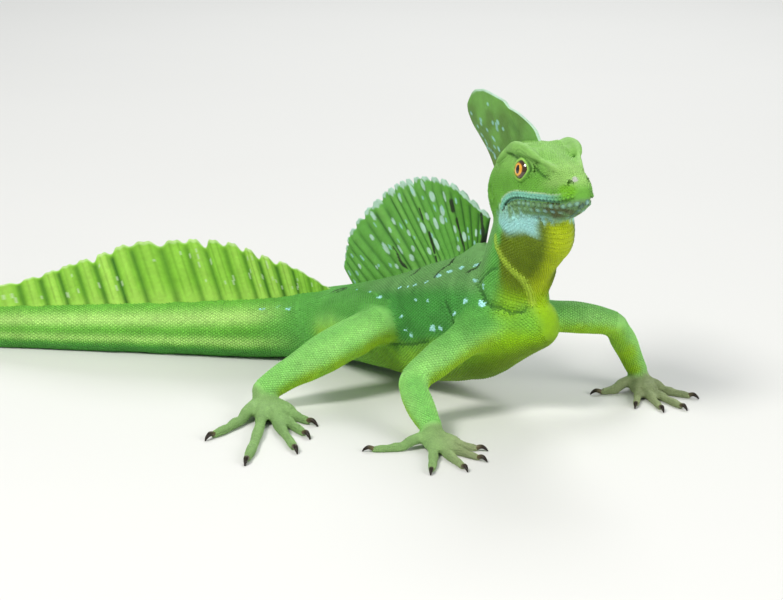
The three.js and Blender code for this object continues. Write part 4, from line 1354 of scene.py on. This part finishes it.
CASQUE_ROOT = [[31, 15.5], [48, 14.5], [60, 5.5]]
CASQUE_EDGE = [
    [31, 17.6], [34.8, 22.4], [45.3, 28.3], [51.3, 30.8], [53.2, 33], [61.6, 36.6], [67, 37.7],
    [73, 36.3], [77.8, 32], [79.2, 26.5], [76.4, 19.5], [72.4, 12.5], [68.5, 5],
]
CASQUE_LEAN = 5.8
SAIL_TIP = [[-4, 36], [-1, 50], [19, 69.5], [34, 77.8], [55, 80.6], [78.5, 71]]
SAIL_RAYS = 21
TAIL_CREST_TIPS = [
    [-22, 27.4], [-30, 32], [-40, 37.6], [-51, 41.6], [-61, 45.6], [-73, 47.2], [-85, 46.4], [-103, 44.6],
    [-115, 39.8], [-126, 35.6], [-137, 31.2], [-151, 26.6], [-175, 21.5], [-205, 16.5], [-236, 12.5],
]
TAIL_RAYS = 22
RAY_LEAN = 0.34


def drawn(*ranges):
    """One random value from each of the ranges."""
    return [rng.uniform(low, high) for low, high in ranges]


def make_casque():
    def placed(line):
        rows = []
        for back, up in line:
            lean = min(1, max(0, (up - 18) / 30 + (back - 40) / 68))
            rows.append(in_head(back, -CASQUE_LEAN * lean ** 2, up)[0])
        return Curve(rows).at

    crest = Crest(placed(CASQUE_ROOT), placed(CASQUE_EDGE), lambda t: in_rows(LEFT, len(t)),
                  rays=8, thick=(2.6, 1.0), ridge=0.12, dip=0.012, flare=1.6, per_ray=24, wave=0.15)
    crest.lay(CASQUE_GREEN, 1)
    crest.lay(LEAF_LIGHT, 0.5 * ease(0.3, 0.7, noise_at(crest.flat, 7)))
    crest.lay(CROWN_GREEN, ease(0.14, 0.0, crest.up))
    crest.lay(OLIVE, 0.35 * ease(0.7, 0.95, crest.t))
    # painted shade: a dark strip up the casque towards the notch in its front edge
    crest.lay(SHADE_AND_STRIPE_GREEN, 0.35 * bump(crest.t - 0.3, 0.12) * bump(crest.up - 0.45, 0.3))
    stations = [drawn((0.5, 0.97), (0.25, 0.9), (0.7, 1.2), (0.5, 0.85)) for _ in range(28)]
    crest.spots(stations, PALE_BLUE, 0.7)
    crest.bar([[0.83, 0.52], [0.85, 0.6]], 0.45)
    front = ease(0.62, 0.5, crest.t) * ease(0.955, 0.975, crest.up)
    crest.lay(CREAM * 0.6 + PALE_BLUE * 0.4, 0.95 * front)
    return crest.build("casque")


SAIL_SPOTS = [
    [0.70, 0.77, 2.0, 1.3], [0.73, 0.61, 1.9, 1.3], [0.71, 0.54, 1.7, 1.1], [0.62, 0.61, 1.5, 0.9],
    [0.55, 0.46, 2.3, 1.1], [0.66, 0.48, 2.3, 0.9], [0.78, 0.4, 1.5, 0.8], [0.84, 0.31, 1.8, 0.9],
    [0.6, 0.26, 2.6, 0.9], [0.51, 0.22, 1.5, 0.8], [0.4, 0.31, 1.3, 1.0], [0.37, 0.23, 1.5, 0.9],
    [0.43, 0.49, 1.4, 0.8], [0.35, 0.62, 1.3, 0.7], [0.38, 0.72, 1.6, 0.7], [0.32, 0.88, 2.2, 0.9],
    [0.29, 0.5, 3.0, 1.1], [0.27, 0.69, 1.5, 0.8], [0.34, 0.37, 2.2, 0.7], [0.115, 0.54, 1.2, 0.8],
    [0.77, 0.18, 1.2, 1.0], [0.6, 0.86, 2.4, 1.0], [0.67, 0.93, 2.3, 0.9], [0.49, 0.85, 1.8, 0.9],
    [0.28, 0.22, 1.2, 0.6], [0.2, 0.34, 1.0, 0.6], [0.77, 0.81, 2.0, 0.7], [0.94, 0.42, 1.4, 0.5],
]
# Dark bars of the sail: stations of share and height, and the width
SAIL_BARS = [
    ([[0.965, 0.88], [0.985, 0.57], [1.0, 0.21]], 0.95),
    ([[0.80, 0.76], [0.80, 0.65]], 1.3),
    ([[0.81, 0.55], [0.812, 0.4], [0.82, 0.12], [0.80, 0.0]], 1.05),
    ([[0.59, 0.66], [0.578, 0.56]], 0.7),
    ([[0.582, 0.4], [0.567, 0.27], [0.553, 0.18]], 0.9),
    ([[0.545, 0.14], [0.535, 0.08]], 1.1),
    ([[0.322, 0.44], [0.321, 0.37], [0.312, 0.24], [0.321, 0.13]], 0.75),
]


def make_sail():
    across = np.cross(TOP, direction(TRUNK_YAW))
    crest = Crest(Curve(over_trunk(SAIL_ROOT, 2.0)).at, Curve(over_trunk(SAIL_TIP)).at,
                  lambda t: in_rows(across, len(t)),
                  rays=SAIL_RAYS, thick=(2.4, 0.8), ridge=0.45, dip=0.055, flare=1.7, rows=110)
    vary = crest.vary(3)
    crest.lay(LEAF, 1)
    crest.lay(LEAF_LIGHT, 0.25 + 0.5 * vary * crest.on_ray)
    crest.lay(SAIL_GREEN, 0.75 * ease(0.7, 0.9, crest.t))
    groove = (1 - crest.on_ray) ** 5 * ease(0.98, 0.85, crest.up)
    crest.lay(SHADE_AND_STRIPE_GREEN, (0.35 + 0.55 * vary) * groove)
    crest.lay(BACK_GREEN, ease(0.12, 0.0, crest.up))
    tips = ease(0.93, 0.955, crest.up + 0.06 * (crest.on_ray - 0.7) + 0.05 * (vary - 0.5))
    crest.lay(CREAM * 0.5 + PALE_BLUE * 0.5, 0.95 * tips)
    crest.spots(SAIL_SPOTS, CREAM * 0.45 + PALE_BLUE * 0.55)
    extra = [[(i + 0.5) / SAIL_RAYS, *drawn((0.2, 0.9), (0.7, 1.5), (0.35, 0.6))]
             for i in range(SAIL_RAYS) for _ in range(1 + (i % 3 == 0))]
    crest.spots(extra, PALE_BLUE, 0.75)
    for stations, width in SAIL_BARS:
        crest.bar(stations, width)
    return crest.build("sail")


BACK_STATIONS = [[-18, 96, 16.5, 16, 13.5]] + TAIL_STATIONS
BACK_LINE = np.array([[s[0], s[1], s[2] + s[4]] for s in BACK_STATIONS])[::-1]


def back_at(x):
    return np.stack([x] + [np.interp(x, BACK_LINE[:, 0], BACK_LINE[:, k]) for k in (1, 2)], axis=1)


def make_tail_crest():
    tips = Curve([[x, back_at(np.array([x]))[0, 1], z] for x, z in TAIL_CREST_TIPS])

    def root(t):
        tip = tips.at(t)
        rise = np.maximum(0, tip[:, 2] - back_at(tip[:, 0])[:, 2])
        return back_at(tip[:, 0] + RAY_LEAN * rise) - [0, 0, 3]

    def across(t):
        x = tips.at(t)[:, 0]
        return np.cross(TOP, unit((back_at(x + 2) - back_at(x - 2)) * [1, 1, 0]))

    crest = Crest(root, tips.at, across, rays=TAIL_RAYS, thick=(2.4, 0.8), ridge=0.42, dip=0.1,
                  flare=1.5)
    vary = crest.vary(5)
    crest.lay(CREST_LIME, 1)
    crest.lay(CREST_PALE, 0.15 + 0.5 * crest.on_ray * (0.4 + vary))
    crest.lay(CREST_PALE, 0.45 * ease(0.45, 0.1, crest.up))
    groove = (1 - crest.on_ray) ** 5 * ease(1.0, 0.9, crest.up)
    crest.lay(FIN_GROOVE, (0.5 + 0.5 * vary) * groove)
    fine = (0.5 + 0.5 * np.cos(6 * np.pi * crest.phase + 2 * vary)) ** 6
    crest.lay(FIN_FINE, 0.45 * fine * ease(0.1, 0.3, crest.up))
    crest.lay(TAIL_PALE, ease(0.12, 0.0, crest.up))
    tips_pale = ease(0.955, 0.985, crest.up + 0.03 * (crest.on_ray - 0.6))
    crest.lay(CREAM * 0.5 + CREST_PALE * 0.5, 0.7 * tips_pale)
    flecks = [drawn((0.03, 0.9), (0.35, 0.9), (0.5, 1.3), (0.25, 0.45)) for _ in range(40)]
    crest.spots(flecks, CREAM, 0.6)
    return crest.build("tail_fin")


casque, sail, tail_fin = make_casque(), make_sail(), make_tail_crest()


# Eyes

def make_eye(side):
    """A ball whose rings run round its gaze, with an amber iris and an upright pupil."""
    centre, out, fore, above = eye_axes(side)
    polar = np.concatenate([np.linspace(0.01, 0.75, 60), np.linspace(0.78, 3.12, 40)])
    theta = np.linspace(0, 2 * np.pi, 128, endpoint=False)
    rows = [centre + EYE["radius"] * (
        math.cos(p) * out + math.sin(p) * (np.cos(theta)[:, None] * fore + np.sin(theta)[:, None] * above))
        for p in polar]
    verts, faces = skin_over(rows)
    if side < 0:
        faces = [tuple(reversed(f)) for f in faces]
    d = verts - centre
    x, y, front = d @ fore, d @ above, d @ out > 0
    r = np.hypot(x, y)
    streaks = noise_at(np.stack([np.arctan2(y, x) * 5, r * 0.6, r * 0], axis=1), 1.0)
    colours = mix(IRIS, IRIS * 1.25, ease(0.35, 0.75, streaks))
    shift = np.hypot(x + 0.35, y)
    colours = mix(colours, IRIS_DARK, ease(1.95, 2.3, shift) * ease(-1.5, 0.5, x))
    colours = mix(colours, IRIS_DARK * 0.35, ease(2.25, 2.7, shift))
    colours = mix(colours, PUPIL, ease(1.1, 0.94, np.hypot((x + 0.3) / 0.95, y / 1.55)))
    colours = mix(PUPIL, colours, front)
    obj = make_object("eye_ball_" + ("left" if side > 0 else "right"), verts, faces, EYEBALL)
    paint(obj.data, colours)
    return obj


eyes = {side: make_eye(side) for side in (1, -1)}


# Claws

def make_claws():
    parts, colours = [], []
    for name, route in CLAWS:
        claw = Sweep(name, route)
        verts, faces = claw.solid(0.25, 14)
        verts[:, 2] = np.maximum(verts[:, 2], 0.0)
        start, end = np.array(route[0][:3]), np.array(route[-1][:3])
        share = (verts - start) @ (end - start) / np.sum((end - start) ** 2)
        parts.append((verts, faces))
        colours.append(mix(CLAW_ROOT, CLAW_TIP, ease(0.1, 0.7, share)))
    verts, faces = joined(parts)
    obj = make_object("claws", verts, faces, CLAW)
    paint(obj.data, np.vstack(colours))
    return obj


claws = make_claws()


# Floor, light and camera

def plain_material(name, colour, roughness):
    material, nodes, shader = new_material(name)
    noise = nodes.new("ShaderNodeTexNoise")
    ramp = nodes.new("ShaderNodeValToRGB")
    ramp.color_ramp.elements[0].color = (*(c * 0.97 for c in colour), 1)
    ramp.color_ramp.elements[1].color = (*colour, 1)
    connect(material, ((noise, "Fac", ramp, "Fac"), (ramp, "Color", shader, "Base Color")))
    set_inputs(noise, Scale=35.0)
    set_inputs(shader, Roughness=roughness)
    return material


FLOOR_HALF = 3.0
floor = linked("floor", bpy.data.meshes.new("floor"))
floor.data.from_pydata([(x * FLOOR_HALF, y * FLOOR_HALF, 0)
                        for x, y in ((-1, -1), (1, -1), (1, 1), (-1, 1))], [], [(0, 1, 2, 3)])
floor.data.materials.append(plain_material("floor", (0.74, 0.74, 0.72), 0.7))

world = bpy.data.worlds.new("studio")
world.use_nodes = True
set_inputs(world.node_tree.nodes["Background"], Color=(0.92, 0.96, 1.0, 1), Strength=0.36)
bpy.context.scene.world = world


def area_light(name, place, target, size, power, colour=(1, 1, 1)):
    light = linked(name, bpy.data.lights.new(name, "AREA"))
    light.data.size, light.data.energy, light.data.color = size, power, colour
    light.location = Vector(place)
    light.rotation_euler = (Vector(target) - Vector(place)).to_track_quat("-Z", "Y").to_euler()


area_light("key", (-0.55, -0.75, 1.15), (0.1, -0.05, 0.03), 0.4, 16, (1.0, 0.98, 0.94))
area_light("fill", (1.1, -0.9, 0.6), (0.1, 0.0, 0.05), 0.6, 9, (1.0, 0.99, 0.96))
area_light("rim", (0.3, 1.0, 1.0), (0.0, 0.0, 0.05), 0.6, 8)

CAMERA = dict(place=(0.1265, -1.00665, 0.28294), tilt=75, lens=117.93)
camera = linked("camera", bpy.data.cameras.new("camera"))
camera.location = Vector(CAMERA["place"])
camera.rotation_euler = (math.radians(CAMERA["tilt"]), 0, 0)
camera.data.lens = CAMERA["lens"]
bpy.context.scene.camera = camera
bpy.context.scene.view_settings.view_transform = "Standard"


# What each piece rides on, and the imported solids hidden in its place

FLESH = [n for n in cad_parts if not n.startswith("eye") and "crest" not in n]
for piece, slot in [(skin, "skin"), (casque, "crest"), (sail, "crest"), (tail_fin, "tail_crest"),
                    (eyes[1], "eye"), (eyes[-1], "eye"), (claws, "digits")] + [(c, "skin") for c in coats]:
    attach(piece, "root")
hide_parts(*FLESH)
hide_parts("head_crest")
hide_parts("dorsal_crest")
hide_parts("tail_crest")
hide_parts("eye_left")
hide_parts("eye_right")
